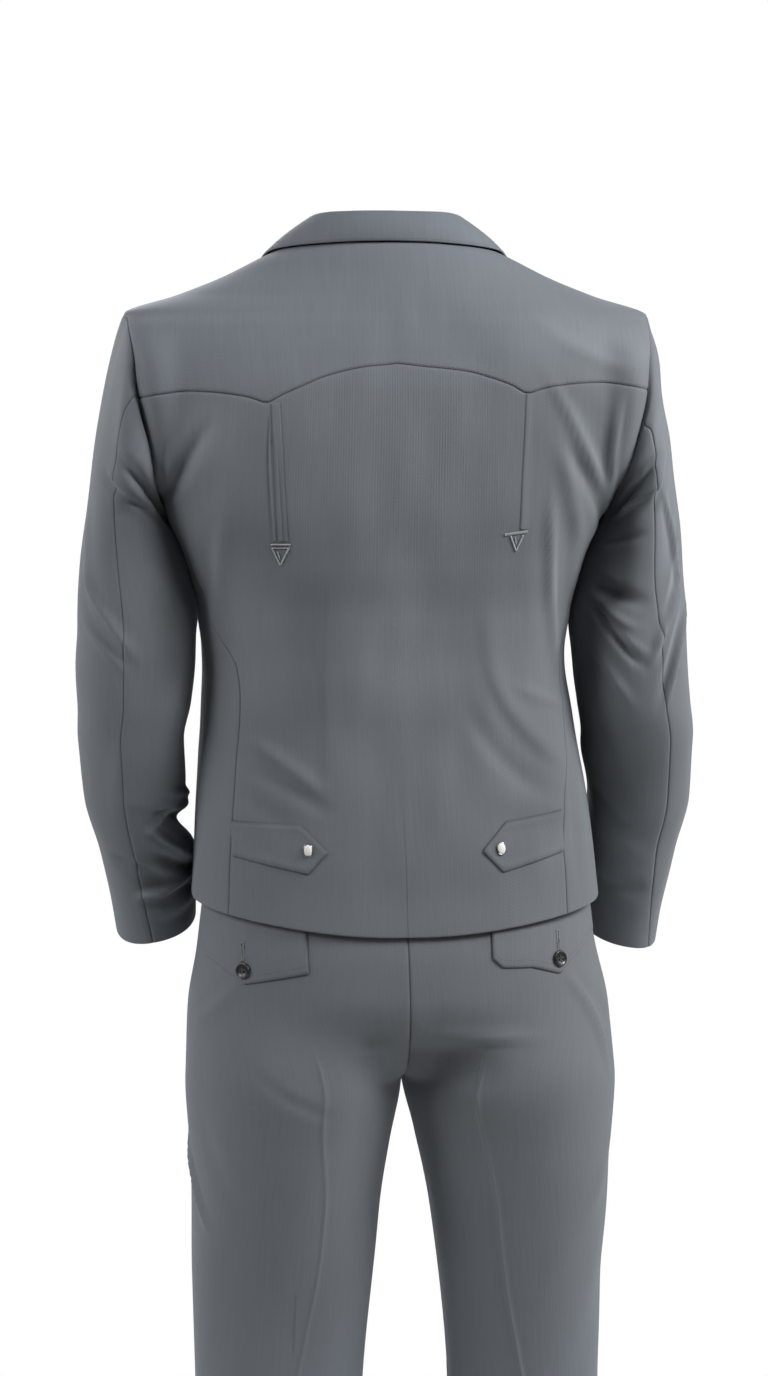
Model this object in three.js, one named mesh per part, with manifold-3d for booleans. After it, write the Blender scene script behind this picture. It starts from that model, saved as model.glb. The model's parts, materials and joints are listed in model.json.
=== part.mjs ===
// A worn western suit: jacket and trousers as thin cloth walls, in mm, +Z up, the wearer faces -Y
// and the wearer's left is +X. The origin is the middle of the neck base, level with the collar seam.
import * as THREE from "three";
import { mergeVertices } from "three/addons/utils/BufferGeometryUtils.js";
import Module from "manifold-3d";

const wasm = await Module();
wasm.setup();

// ---- driving sizes -------------------------------------------------------------------------
const GAP = 0.3; // between pieces at a seam
const JACKET_WALL = 1.8;
const TROUSER_WALL = 1.5;
const LAID_LIFT = 0.35; // a piece laid on a panel stands this far off it
const LAP_LIFT = JACKET_WALL + 0.95; // the left front edge over the right one
const NECK_BACK_Z = 8;
const NECK_SIDE_Z = 5;
const ROLL_TOP = { x: 78, z: 4 }; // roll line of the lapel, from the neck to the top snap
const ROLL_FOOT = { x: 1, z: -322 };
const LAP_HALF = 20; // the front edges cross the middle by this much
const HEM_SIDE_Z = -599;
const HEM_BACK_Z = -624;
const HEM_FRONT_Z = -612;
const FRONT_CORNER = { x: 62, rise: 46 }; // rounded foot of the front edge
const SHOULDER_Z = -63;
const ARMHOLE = { z: -151.5, tall: 88.5, back: 64, front: 58, round: 2.2 };
const CAP_FOOT_Z = -290; // the sleeve cap has become a level ring here
const CUFF_Z = { left: -635, right: -646 };
const CUFF_TILT = { y: 0.25, x: 0.1 };
const ARMHOLE_GAP = 0.5; // curved seam, so its facets need a little more
const COLLAR_LIFT = 1.4;
const WAIST_TOP_Z = -498;
const WAISTBAND = 40;
const CROTCH_Z = -767;
const FORK_START_Z = -680;
const TROUSER_HEM_Z = -1530;

// The jacket's level sections: half width, depth behind and before the side line, squareness.
const BODY = [
  { z: 14, half: 66, back: 50, front: 40, round: 2.1 },
  { z: 3, half: 83, back: 57, front: 44, round: 2.0 },
  { z: -6, half: 106, back: 64, front: 48, round: 1.9 },
  { z: -29, half: 153, back: 76, front: 56, round: 1.85 },
  { z: -45, half: 193, back: 84, front: 62, round: 1.9 },
  { z: -63, half: 242, back: 92, front: 70, round: 2.3 },
  { z: -76, half: 242, back: 98, front: 77, round: 3.1 },
  { z: -100, half: 240, back: 108, front: 88, round: 3.6 },
  { z: -134, half: 237, back: 118, front: 101, round: 3.7 },
  { z: -190, half: 226, back: 124, front: 118, round: 3.4 },
  { z: -240, half: 206, back: 126, front: 125, round: 3.0 },
  { z: -290, half: 184, back: 122, front: 126, round: 2.7 },
  { z: -346, half: 171, back: 112, front: 121, round: 2.6 },
  { z: -364, half: 168, back: 109, front: 119, round: 2.6 },
  { z: -430, half: 173, back: 110, front: 119, round: 2.6 },
  { z: -495, half: 181, back: 119, front: 124, round: 2.6 },
  { z: -555, half: 186, back: 126, front: 128, round: 2.6 },
  { z: -600, half: 190, back: 130, front: 130, round: 2.6 },
  { z: -640, half: 193, back: 133, front: 132, round: 2.6 },
];
// Lower edge of the yoke, from the centre back out to the armhole.
const YOKE_EDGE = [
  { x: 0, z: -110 },
  { x: 45, z: -115.5 },
  { x: 65, z: -119.5 },
  { x: 86, z: -127 },
  { x: 104, z: -134.5 },
  { x: 117, z: -141 },
  { x: 128, z: -137.5 },
  { x: 139, z: -135 },
  { x: 160, z: -132 },
  { x: 186, z: -130.5 },
  { x: 213, z: -134 },
  { x: 240, z: -138 },
];
// Long seams of the jacket: degrees round the body from the centre back.
const SEAMS = [
  { z: -180, back: 81, front: 97 },
  { z: -225, back: 79, front: 99 },
  { z: -300, back: 75.5, front: 103 },
  { z: -348, back: 73, front: 107 },
  { z: -385, back: 67, front: 108 },
  { z: -425, back: 61.8, front: 109 },
  { z: -480, back: 60, front: 109.5 },
  { z: -530, back: 58.7, front: 110 },
  { z: -630, back: 58.2, front: 110 },
];
// The arm below the cap: centre and half sizes of each level ring.
const ARM = [
  { z: -290, x: 233.5, y: 6, wide: 47, deep: 71 },
  { z: -345, x: 229, y: 10, wide: 55, deep: 69 },
  { z: -373, x: 230, y: 12, wide: 55, deep: 67 },
  { z: -420, x: 233.5, y: 8, wide: 52.5, deep: 64 },
  { z: -455, x: 239, y: 0, wide: 49.5, deep: 62 },
  { z: -507, x: 238.5, y: -22, wide: 48, deep: 60 },
  { z: -556, x: 231, y: -48, wide: 44.5, deep: 57 },
  { z: -604, x: 225, y: -70, wide: 40.5, deep: 54 },
  { z: -650, x: 222, y: -88, wide: 37, deep: 52.5 },
];
// How the cap leaves the armhole, by the share of the way down from the shoulder point.
const CAP = [
  { down: 0, out: 1, fall: 0.3 },
  { down: 0.5, out: 0.9, fall: 0.5 },
  { down: 0.8, out: 0.35, fall: 0.95 },
  { down: 1, out: -0.25, fall: 1 },
];
// How far the back seam of each sleeve turns from where the yoke meets the armhole, in degrees, down the sleeve.
const SLEEVE_SEAM = [
  { down: 0, left: 0, right: 0 },
  { down: 0.12, left: -9, right: -5 },
  { down: 0.22, left: -13, right: -4 },
  { down: 0.36, left: -8, right: -2 },
  { down: 0.5, left: -5, right: -9 },
  { down: 0.65, left: -4.5, right: -6.5 },
  { down: 0.8, left: -6, right: -7 },
  { down: 0.9, left: -5, right: -15 },
  { down: 1, left: 1, right: -27 },
];
// The collar, from the centre back (0) over the shoulder seam (4) to the gorge (7).
const COLLAR = [
  { at: 0, rollX: 0, rollY: 50, rollZ: 30, edgeTurn: 0, edgeZ: 0, lay: 0, neckTurn: 0 },
  { at: 1, rollX: 26, rollY: 47.5, rollZ: 30, edgeTurn: 29, edgeZ: -0.5, lay: 0, neckTurn: 30 },
  { at: 2, rollX: 48, rollY: 38, rollZ: 30, edgeTurn: 53, edgeZ: -2, lay: 0, neckTurn: 55 },
  { at: 3, rollX: 64, rollY: 20, rollZ: 29, edgeTurn: 73, edgeZ: -4, lay: 0, neckTurn: 76 },
  { at: 4, rollX: 71, rollY: 2, rollZ: 26.5, edgeTurn: 90, edgeZ: -7, lay: 0, neckTurn: 91 },
  { at: 5, rollX: 73, rollY: -16, rollZ: 15, edgeTurn: 103, edgeZ: -22, lay: 0.4, neckTurn: 0 },
  { at: 6, rollX: 72, rollY: -33, rollZ: -4, edgeTurn: 110, edgeZ: -40, lay: 0.9, neckTurn: 0 },
  { at: 7, rollX: 69, rollY: -51, rollZ: -35, edgeTurn: 120, edgeZ: -62, lay: 1, neckTurn: 0 },
];
const COLLAR_BULGE = 3;
const STAND_END = 5.3;
// The trousers above the fork, as level sections like the jacket's.
const SEAT = [
  { z: -490, half: 161, back: 98, front: 103, round: 2.4 },
  { z: -540, half: 171, back: 106, front: 108, round: 2.4 },
  { z: -611, half: 181, back: 116, front: 111, round: 2.4 },
  { z: -650, half: 187, back: 123, front: 112, round: 2.4 },
  { z: -700, half: 197.5, back: 129, front: 112, round: 2.4 },
  { z: -740, half: 200.5, back: 130, front: 110, round: 2.3 },
  { z: -780, half: 201, back: 128, front: 108, round: 2.3 },
];
const LEG = [
  { z: -680, x: 99, y: 8, wide: 98.7, deep: 118 },
  { z: -767, x: 100.6, y: 8, wide: 100.3, deep: 116 },
  { z: -823, x: 104.5, y: 6, wide: 94, deep: 108 },
  { z: -900, x: 110, y: 2, wide: 86, deep: 98 },
  { z: -1060, x: 116, y: -4, wide: 75, deep: 80 },
  { z: -1200, x: 119, y: 2, wide: 72, deep: 74 },
  { z: -1400, x: 123, y: 9, wide: 71, deep: 72 },
  { z: -1530, x: 124.5, y: 10, wide: 72, deep: 74 },
];
// How far the standing figure sways to its left (+X) at each height.
const LEAN = [
  { z: 20, x: -1.5 },
  { z: -66, x: -2.5 },
  { z: -150, x: -1.5 },
  { z: -240, x: 0.5 },
  { z: -365, x: 1 },
  { z: -450, x: -4 },
  { z: -500, x: -6.5 },
  { z: -560, x: -9 },
  { z: -620, x: -10.5 },
  { z: -700, x: -13 },
  { z: -767, x: -14.5 },
  { z: -900, x: -16.2 },
  { z: -1530, x: -17 },
];
// How much wider each leg stands than the table above, the left one forward and the right one turned.
const STANCE = [
  { z: -767, left: 0, right: 0 },
  { z: -850, left: 0.6, right: -2.8 },
  { z: -960, left: 4, right: -3.8 },
  { z: -1300, left: 2, right: -2 },
  { z: -1530, left: 0, right: 0 },
];
// What lies on the back of each side: outlines from the inner top corner, or by x and z.
const TAB = {
  left: [
    { x: 154, z: -521 },
    { x: 94, z: -521.5 },
    { x: 69, z: -547 },
    { x: 88, z: -568 },
    { x: 154, z: -554 },
  ],
  right: [
    { x: 148, z: -513.5 },
    { x: 93, z: -521 },
    { x: 69, z: -547.5 },
    { x: 88, z: -568 },
    { x: 148, z: -552 },
  ],
};
const TAB_SNAP = { x: 87, z: -545.5 };
const PLEAT = {
  left: [
    { x: 113, z: -142 },
    { x: 102.5, z: -269 },
    { x: 111, z: -269 },
    { x: 119, z: -142 },
  ],
  right: [
    { x: 115, z: -141 },
    { x: 112, z: -258.5 },
    { x: 119, z: -258.5 },
    { x: 120.5, z: -140 },
  ],
};
const ARROW = {
  left: [
    { x: 93.5, z: -270.5 },
    { x: 111, z: -270.5 },
    { x: 111, z: -274 },
    { x: 102, z: -290 },
    { x: 93.5, z: -274 },
  ],
  right: [
    { x: 99, z: -260 },
    { x: 120, z: -260 },
    { x: 120, z: -263.5 },
    { x: 109, z: -277.5 },
    { x: 99, z: -263.5 },
  ],
};
const LAPEL_EDGE = [
  { x: 132, z: -82 },
  { x: 119, z: -112 },
  { x: 99, z: -153 },
  { x: 73, z: -201 },
  { x: 45, z: -251 },
  { x: 20, z: -295 },
];
const FLAP = {
  left: [
    { x: 88, z: -602 },
    { x: 88.5, z: -658 },
    { x: 145, z: -670.5 },
    { x: 180, z: -650 },
    { x: 180, z: -602 },
  ],
  right: [
    { x: 74, z: -598 },
    { x: 75.5, z: -646 },
    { x: 84, z: -655 },
    { x: 112, z: -656 },
    { x: 139, z: -664 },
    { x: 181, z: -632 },
    { x: 179, z: -598 },
  ],
};
const FLAP_BUTTON = { left: { x: 144.5, z: -658 }, right: { x: 137.5, z: -650 } };
const FLY = [
  { x: 0.4, z: -540 },
  { x: 38, z: -540 },
  { x: 38, z: -655 },
  { x: 30, z: -683 },
  { x: 12, z: -700 },
  { x: 0.4, z: -704 },
];
const SIDE_POCKET = [
  { x: 118, z: -542 },
  { x: 132, z: -542 },
  { x: 178, z: -690 },
  { x: 166, z: -690 },
];
const FRONT_SNAP_Z = [-338, -438];
const SNAP = { rim: 6.2, cap: 4.7, tall: 2.2 };
const BUTTON = { radius: 7.5, thick: 3 };

const CLOTH = { color: "#686d73", roughness: 0.85, metalness: 0 };
const THREAD = { color: "#a9adb1", roughness: 0.7, metalness: 0 };
const METAL = { color: "#8d9094", roughness: 0.3, metalness: 1 };
const PEARL = { color: "#e8e5de", roughness: 0.25, metalness: 0 };
const DARK = { color: "#2d2c2e", roughness: 0.4, metalness: 0 };

// ---- helpers -------------------------------------------------------------------------------
const rad = THREE.MathUtils.degToRad;
const { lerp, clamp, smoothstep } = THREE.MathUtils;
const V = (x, y, z) => new THREE.Vector3(x, y, z);
const power = (value, to) => Math.sign(value) * Math.abs(value) ** to;

// A smooth curve through one named column of a table, keyed by its first column.
function read(table, column, at) {
  const key = Object.keys(table[0])[0];
  const sign = table[1][key] > table[0][key] ? 1 : -1;
  const last = table.length - 1;
  let i = 0;
  while (i < last - 1 && sign * (at - table[i + 1][key]) > 0) i++;
  const span = (j) => table[j + 1][key] - table[j][key];
  const rise = (j) => (table[j + 1][column] - table[j][column]) / span(j);
  const slope = (j) => {
    if (j === 0) return rise(0);
    if (j === last) return rise(last - 1);
    const [before, after] = [rise(j - 1), rise(j)];
    return before * after <= 0 ? 0 : (2 * before * after) / (before + after);
  };
  const h = span(i);
  const t = clamp((at - table[i][key]) / h, 0, 1);
  return (
    (2 * t ** 3 - 3 * t ** 2 + 1) * table[i][column] +
    (t ** 3 - 2 * t ** 2 + t) * h * slope(i) +
    (3 * t ** 2 - 2 * t ** 3) * table[i + 1][column] +
    (t ** 3 - t ** 2) * h * slope(i + 1)
  );
}

// Where test(value) turns from false to true between low and high.
function turning(low, high, test) {
  for (let i = 0; i < 40; i++) {
    const middle = (low + high) / 2;
    if (test(middle)) high = middle;
    else low = middle;
  }
  return (low + high) / 2;
}

function section(table, turn, z) {
  const half = read(table, "half", z);
  const deep = read(table, Math.cos(turn) >= 0 ? "back" : "front", z);
  const n = read(table, "round", z);
  const [s, c] = [Math.sin(turn), Math.cos(turn)];
  const r = (Math.abs(s / half) ** n + Math.abs(c / deep) ** n) ** (-1 / n);
  return V(r * s, r * c, z);
}
const torso = (turn, z) => section(BODY, turn, z);

// The turn, in the back or front half, at which the body is x wide.
function turnAt(table, x, z, front = false) {
  const found = turning(0, Math.PI / 2, (t) => section(table, front ? Math.PI - t : t, z).x > Math.abs(x));
  return Math.sign(x || 1) * (front ? Math.PI - found : found);
}

const stepTurn = (turn, z, mm) =>
  mm / (torso(turn + 1e-3, z).distanceTo(torso(turn - 1e-3, z)) / 2e-3);

function normalOf(point, u, v, outward, lastRow = 1) {
  const d = 2e-3;
  const [u0, u1, v0, v1] = [Math.max(u - d, 0), Math.min(u + d, 1), Math.max(v - d, 0), Math.min(v + d, lastRow)];
  const n = point(u1, v)
    .sub(point(u0, v))
    .cross(point(u, v1).sub(point(u, v0)))
    .normalize();
  return n.dot(outward(point(u, v))) < 0 ? n.negate() : n;
}

const fromAxis = (p) => V(p.x, p.y, 0);

// A grid of points on the outer face with its normals; cols and rows list the parameter values.
function grid(point, cols, rows, outward = fromAxis) {
  return rows.map((v) => cols.map((u) => ({ p: point(u, v), n: normalOf(point, u, v, outward, rows.at(-1)) })));
}

// A closed wall between the grid moved out by top and by bottom.
function wall(cells, top, bottom) {
  const [nr, nc] = [cells.length, cells[0].length];
  const position = [];
  for (const off of [top, bottom])
    for (const row of cells) for (const { p, n } of row) position.push(p.x + n.x * off, p.y + n.y * off, p.z + n.z * off);
  const at = (side, r, c) => side * nr * nc + r * nc + c;
  const index = [];
  const quad = (a, b, c, d) => index.push(a, b, c, a, c, d);
  for (let r = 0; r + 1 < nr; r++)
    for (let c = 0; c + 1 < nc; c++) {
      quad(at(0, r, c), at(0, r, c + 1), at(0, r + 1, c + 1), at(0, r + 1, c));
      index.push(at(1, r, c), at(1, r + 1, c + 1), at(1, r, c + 1), at(1, r, c), at(1, r + 1, c), at(1, r + 1, c + 1));
    }
  for (let c = 0; c + 1 < nc; c++) {
    quad(at(0, 0, c + 1), at(0, 0, c), at(1, 0, c), at(1, 0, c + 1));
    quad(at(0, nr - 1, c), at(0, nr - 1, c + 1), at(1, nr - 1, c + 1), at(1, nr - 1, c));
  }
  for (let r = 0; r + 1 < nr; r++) {
    quad(at(0, r, 0), at(0, r + 1, 0), at(1, r + 1, 0), at(1, r, 0));
    quad(at(0, r + 1, nc - 1), at(0, r, nc - 1), at(1, r, nc - 1), at(1, r + 1, nc - 1));
  }
  return solid(position, index);
}

// A manifold solid facing out, whichever way the faces were listed.
function solid(position, index) {
  const make = (order) =>
    new wasm.Manifold(
      new wasm.Mesh({ numProp: 3, vertProperties: new Float32Array(position), triVerts: new Uint32Array(order) }),
    );
  const made = make(index);
  if (made.volume() > 0) return made;
  const turned = index.slice();
  for (let i = 0; i < turned.length; i += 3) [turned[i + 1], turned[i + 2]] = [turned[i + 2], turned[i + 1]];
  return make(turned);
}

// An outline in x and z, drawn straight through from y = near to y = far.
function prism(outline, near, far) {
  const flat = outline.map(({ x, z }) => new THREE.Vector2(x, z));
  if (THREE.ShapeUtils.isClockWise(flat)) flat.reverse();
  const count = flat.length;
  const position = [near, far].flatMap((y) => flat.flatMap((q) => [q.x, y, q.y]));
  const index = [];
  for (const [a, b, c] of THREE.ShapeUtils.triangulateShape(flat, [])) index.push(a, b, c, count + a, count + c, count + b);
  for (let i = 0; i < count; i++) {
    const j = (i + 1) % count;
    index.push(i, count + j, j, i, count + i, count + j);
  }
  return solid(position, index);
}

function fromGeometry(geometry) {
  const plain = new THREE.BufferGeometry().setAttribute(
    "position",
    (geometry.index ? geometry.toNonIndexed() : geometry).getAttribute("position"),
  );
  const merged = mergeVertices(plain, 1e-4);
  return solid([...merged.attributes.position.array], [...merged.index.array]);
}

// ---- the group -----------------------------------------------------------------------------
const suit = new THREE.Group();
suit.name = "western_suit";

const leanAt = (z) => read(LEAN, "x", z);

function put(name, made, look) {
  const mesh = made.getMesh();
  const position = new Float32Array(mesh.numVert * 3);
  for (let i = 0; i < mesh.numVert; i++) {
    const [x, y, z] = mesh.vertProperties.subarray(i * mesh.numProp, i * mesh.numProp + 3);
    position.set([x + leanAt(z), y, z], i * 3);
  }
  const geometry = new THREE.BufferGeometry()
    .setAttribute("position", new THREE.BufferAttribute(position, 3))
    .setIndex(new THREE.BufferAttribute(mesh.triVerts, 1));
  geometry.computeVertexNormals();
  const piece = new THREE.Mesh(geometry, new THREE.MeshStandardMaterial(look));
  piece.name = name;
  suit.add(piece);
}

const spread = (count) => Array.from({ length: count + 1 }, (_, i) => i / count);
const counting = (count) => Array.from({ length: count }, (_, i) => i);
// Levels between two heights as shares of the way from the first to the last.
const shares = (levels) => levels.map((z) => (z - levels[0]) / (levels.at(-1) - levels[0]));
const mirror = (cells) => cells.map((row) => row.map(({ p, n }) => ({ p: V(-p.x, p.y, p.z), n: V(-n.x, n.y, n.z) })));
const flip = (outline, side) => outline.map(({ x, z }) => ({ x: side * x, z }));
const SIDES = [
  ["left", 1],
  ["right", -1],
];
const sided = (cells, side) => (side > 0 ? cells : mirror(cells));

// A piece laid on a panel: the panel's own facets moved out and cut to an outline.
function laid(cells, outline, thick, near, far, lift = LAID_LIFT) {
  return wall(cells, lift + thick, lift).intersect(prism(outline, near, far));
}

// A turned part standing on a surface point, its axis along the normal there.
function stud(profile, p, n, segments = 20) {
  const points = profile.map(([r, h]) => new THREE.Vector2(r, h));
  const geometry = new THREE.LatheGeometry(points, segments);
  const turn = new THREE.Quaternion().setFromUnitVectors(V(0, 1, 0), n);
  geometry.applyMatrix4(new THREE.Matrix4().compose(p, turn, V(1, 1, 1)));
  return fromGeometry(geometry);
}
const rimProfile = (h) => [
  [SNAP.cap + 0.3, h],
  [SNAP.rim, h],
  [SNAP.rim, h + 0.8],
  [SNAP.rim - 0.5, h + SNAP.tall - 0.5],
  [SNAP.cap + 0.5, h + SNAP.tall - 0.5],
  [SNAP.cap + 0.3, h],
];
const capProfile = (h) => [
  [0, h],
  [SNAP.cap, h],
  [SNAP.cap, h + 1.2],
  [SNAP.cap * 0.7, h + SNAP.tall - 0.25],
  [SNAP.cap * 0.35, h + SNAP.tall],
  [0, h + SNAP.tall],
];
const buttonProfile = (h) => [
  [0, h],
  [BUTTON.radius - 1, h],
  [BUTTON.radius, h + 1],
  [BUTTON.radius, h + BUTTON.thick - 0.6],
  [BUTTON.radius - 0.9, h + BUTTON.thick],
  [BUTTON.radius - 2.4, h + BUTTON.thick - 0.8],
  [0, h + BUTTON.thick - 0.8],
];

// ---- jacket body ---------------------------------------------------------------------------
// The armhole is an oval seen from the side; its back or front edge as a turn round the body.
function armholeTurn(z, back) {
  const t = Math.abs((z - ARMHOLE.z) / ARMHOLE.tall);
  if (t >= 1) return Math.PI / 2;
  const deep = (back ? ARMHOLE.back : ARMHOLE.front) * (1 - t ** ARMHOLE.round) ** (1 / ARMHOLE.round);
  const found = turning(0, Math.PI / 2, (a) => Math.abs(torso(back ? a : Math.PI - a, z).y) < deep);
  return back ? found : Math.PI - found;
}
const backSeam = (z) => rad(read(SEAMS, "back", z));
const frontSeam = (z) => rad(read(SEAMS, "front", z));
const inArmhole = (p) => {
  const deep = p.y > 0 ? ARMHOLE.back : ARMHOLE.front;
  const m = ARMHOLE.round;
  return Math.abs(p.y / deep) ** m + Math.abs((p.z - ARMHOLE.z) / ARMHOLE.tall) ** m < 1;
};
const hemZ = (turn) => {
  const t = Math.abs(turn);
  return t < Math.PI / 2
    ? lerp(HEM_BACK_Z, HEM_SIDE_Z, smoothstep(t, 0, Math.PI / 2) ** 0.8)
    : lerp(HEM_SIDE_Z, HEM_FRONT_Z, smoothstep(t, Math.PI / 2, Math.PI));
};
const neckZ = (turn) => lerp(NECK_BACK_Z, NECK_SIDE_Z, clamp(Math.abs(turn) / (Math.PI / 2), 0, 1));

// Below the armhole every panel of the jacket has its rows at these heights, so the facets meet.
const LOW_LEVELS = [-262, -295, -330, -365, -400, -435, -475, -515, -560];
// Row heights of one column: evenly shared from its top to the first level, then the levels, then the hem.
function columnLevels(top, marks, foot) {
  return [top, ...marks, ...LOW_LEVELS, foot];
}
const atRow = (levels, v) => {
  const i = Math.min(Math.floor(v), levels.length - 2);
  return lerp(levels[i], levels[i + 1], v - i);
};

// The yoke and the backs share these columns, so the facets meet; one falls on the yoke's point.
const YOKE_COLUMNS = [0, 0.16, 0.32, 0.47, 0.617, 0.72, 0.86, 1];
function yokeEdgeZ(share) {
  let z = -125;
  for (let i = 0; i < 12; i++) z = read(YOKE_EDGE, "z", torso(share * armholeTurn(z, true), z).x);
  return z;
}

const YOKE_LEVELS = [-90, -75, -67, SHOULDER_Z, -52, -40, -28, -16, -6, 0];
const yoke = grid(
  (u, row) => {
    const share = 2 * u - 1;
    const foot = yokeEdgeZ(Math.abs(share)) + GAP / 2;
    const z = atRow([foot, (foot + YOKE_LEVELS[0]) / 2, ...YOKE_LEVELS, neckZ((share * Math.PI) / 2)], row);
    const out = armholeTurn(z, true) - stepTurn(1.5, z, GAP / 2);
    return torso(share * out, z);
  },
  [...YOKE_COLUMNS.slice(1).map((c) => (1 - c) / 2).reverse(), ...YOKE_COLUMNS.map((c) => (1 + c) / 2)],
  counting(YOKE_LEVELS.length + 3),
);
put("jacket_yoke", wall(yoke, 0, -JACKET_WALL), CLOTH);

// Where a long seam of the jacket runs into the armhole.
const seamTop = (seam, back) =>
  -turning(-ARMHOLE.z, -ARMHOLE.z + ARMHOLE.tall, (d) => {
    const arm = armholeTurn(-d, back);
    return back ? arm > seam(-d) : arm < seam(-d);
  });
const BACK_SEAM_TOP = seamTop(backSeam, true);
const FRONT_SEAM_TOP = seamTop(frontSeam, false);
const halfway = (top) => (top + LOW_LEVELS[0]) / 2;

const BACK_MARKS = [0.33, 0.67];
const back = grid(
  (u, row) => {
    const top = yokeEdgeZ(u) - GAP / 2;
    const marks = BACK_MARKS.map((s) => lerp(top, BACK_SEAM_TOP, s));
    const levels = columnLevels(top, [...marks, BACK_SEAM_TOP, halfway(BACK_SEAM_TOP)], hemZ(u * backSeam(-600)));
    const z = atRow(levels, row);
    const out = Math.min(armholeTurn(z, true), z < ARMHOLE.z ? backSeam(z) : 9);
    const inset = stepTurn(out, z, GAP / 2);
    return torso(lerp(stepTurn(0, z, GAP / 2), out - inset, u), z);
  },
  YOKE_COLUMNS,
  counting(6 + LOW_LEVELS.length),
);

const SIDE_COLUMNS = 6;
const sidePanel = grid(
  (u, row) => {
    const turn = (z) => {
      const inset = stepTurn(Math.PI / 2, z, GAP / 2);
      return lerp(backSeam(z) + inset, frontSeam(z) - inset, u);
    };
    const top = -turning(-ARMHOLE.z, -ARMHOLE.z + ARMHOLE.tall, (d) => !inArmhole(torso(turn(-d), -d))) - GAP / 2;
    const z = atRow(columnLevels(top, [halfway(top)], hemZ(turn(-600))), row);
    return torso(turn(z), z);
  },
  spread(SIDE_COLUMNS),
  counting(3 + LOW_LEVELS.length),
);

const rollX = (z) => lerp(ROLL_TOP.x, ROLL_FOOT.x, (ROLL_TOP.z - z) / (ROLL_TOP.z - ROLL_FOOT.z));
// The front edge: the roll line down to the lap, then a straight lap past the middle.
const frontEdgeX = (z) => (z > ROLL_FOOT.z ? rollX(z) : lerp(ROLL_FOOT.x, -LAP_HALF, smoothstep(-z, -ROLL_FOOT.z, -ROLL_FOOT.z + 16)));
const frontFoot = (x, turn) => {
  const past = clamp((FRONT_CORNER.x - x) / (FRONT_CORNER.x + LAP_HALF), 0, 1);
  return hemZ(turn) + FRONT_CORNER.rise * (1 - Math.sqrt(1 - 0.98 * past ** 2));
};
const FRONT_TOP_LEVELS = [-4, -14, -28, -45, -63, -70, -85, -115, -150, -185];
const LAP_LEVELS = [-322, -341];
const FRONT_LEVELS = [...LOW_LEVELS, ...LAP_LEVELS].sort((a, b) => b - a);
function frontGrid(lap) {
  return grid(
    (u, row) => {
      const edgeTurn = (z) => {
        const x = frontEdgeX(z);
        return x >= 0 ? turnAt(BODY, x, z, true) : 2 * Math.PI + turnAt(BODY, x, z, true);
      };
      const bounds = (z) => {
        const arm = armholeTurn(z, false);
        const start = (z < ARMHOLE.z ? Math.max(arm, frontSeam(z)) : arm) + stepTurn(1.6, z, GAP / 2);
        return [start, edgeTurn(z)];
      };
      let [start, end] = bounds(-560);
      const low = lerp(start, end, u);
      const foot = frontFoot(torso(low, -590).x, Math.min(low, Math.PI));
      const top = lerp(NECK_SIDE_Z, ROLL_TOP.z, u);
      const marks = [...FRONT_TOP_LEVELS, FRONT_SEAM_TOP, halfway(FRONT_SEAM_TOP)];
      // the rows above the foot bend up with it, so the rounded corner stays evenly divided
      const last = (FRONT_LEVELS.at(-1) + foot + 560 - 607) / 2;
      const z = atRow([top, ...marks, ...FRONT_LEVELS.slice(0, -1), lerp(FRONT_LEVELS.at(-1), last + 23, u * u), foot], row);
      [start, end] = bounds(z);
      const p = torso(lerp(start, end, u), z);
      if (!lap) return p;
      const off = LAP_LIFT * smoothstep(-p.x, -46, -24) * smoothstep(-z, 270, 315);
      return p.add(V(0, -off, 0));
    },
    [0, 0.14, 0.28, 0.42, 0.56, 0.7, 0.85, 1],
    counting(2 + FRONT_TOP_LEVELS.length + 2 + FRONT_LEVELS.length),
  );
}
const fronts = { left: frontGrid(true), right: mirror(frontGrid(false)) };

for (const [which, side] of SIDES) {
  put("jacket_back_" + which, wall(sided(back, side), 0, -JACKET_WALL), CLOTH);
  put("jacket_side_" + which, wall(sided(sidePanel, side), 0, -JACKET_WALL), CLOTH);
  put("jacket_front_" + which, wall(fronts[which], 0, -JACKET_WALL), CLOTH);
}

// ---- laid on the jacket --------------------------------------------------------------------
const gorge = { from: { x: 68.5, z: -36.6 }, to: { x: 106, z: -63.6 } };
const lapelOutline = [
  { x: rollX(gorge.from.z) + 0.2, z: gorge.from.z },
  { x: ROLL_FOOT.x + 1, z: ROLL_FOOT.z + 4 },
  ...LAPEL_EDGE.slice().reverse(),
  gorge.to,
];
for (const [which, side] of SIDES) {
  const cells = sided(back, side);
  put("lapel_" + which, laid(fronts[which], flip(lapelOutline, side), JACKET_WALL, -260, 0), CLOTH);
  put("waist_tab_" + which, laid(cells, flip(TAB[which], side), JACKET_WALL, 0, 260), CLOTH);
  put("pleat_fold_" + which, laid(cells, flip(PLEAT[which], side), 1.2, 0, 260), CLOTH);
  put("arrow_tack_" + which, laid(cells, flip(ARROW[which], side), 1, 0, 260), THREAD);
}

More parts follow.
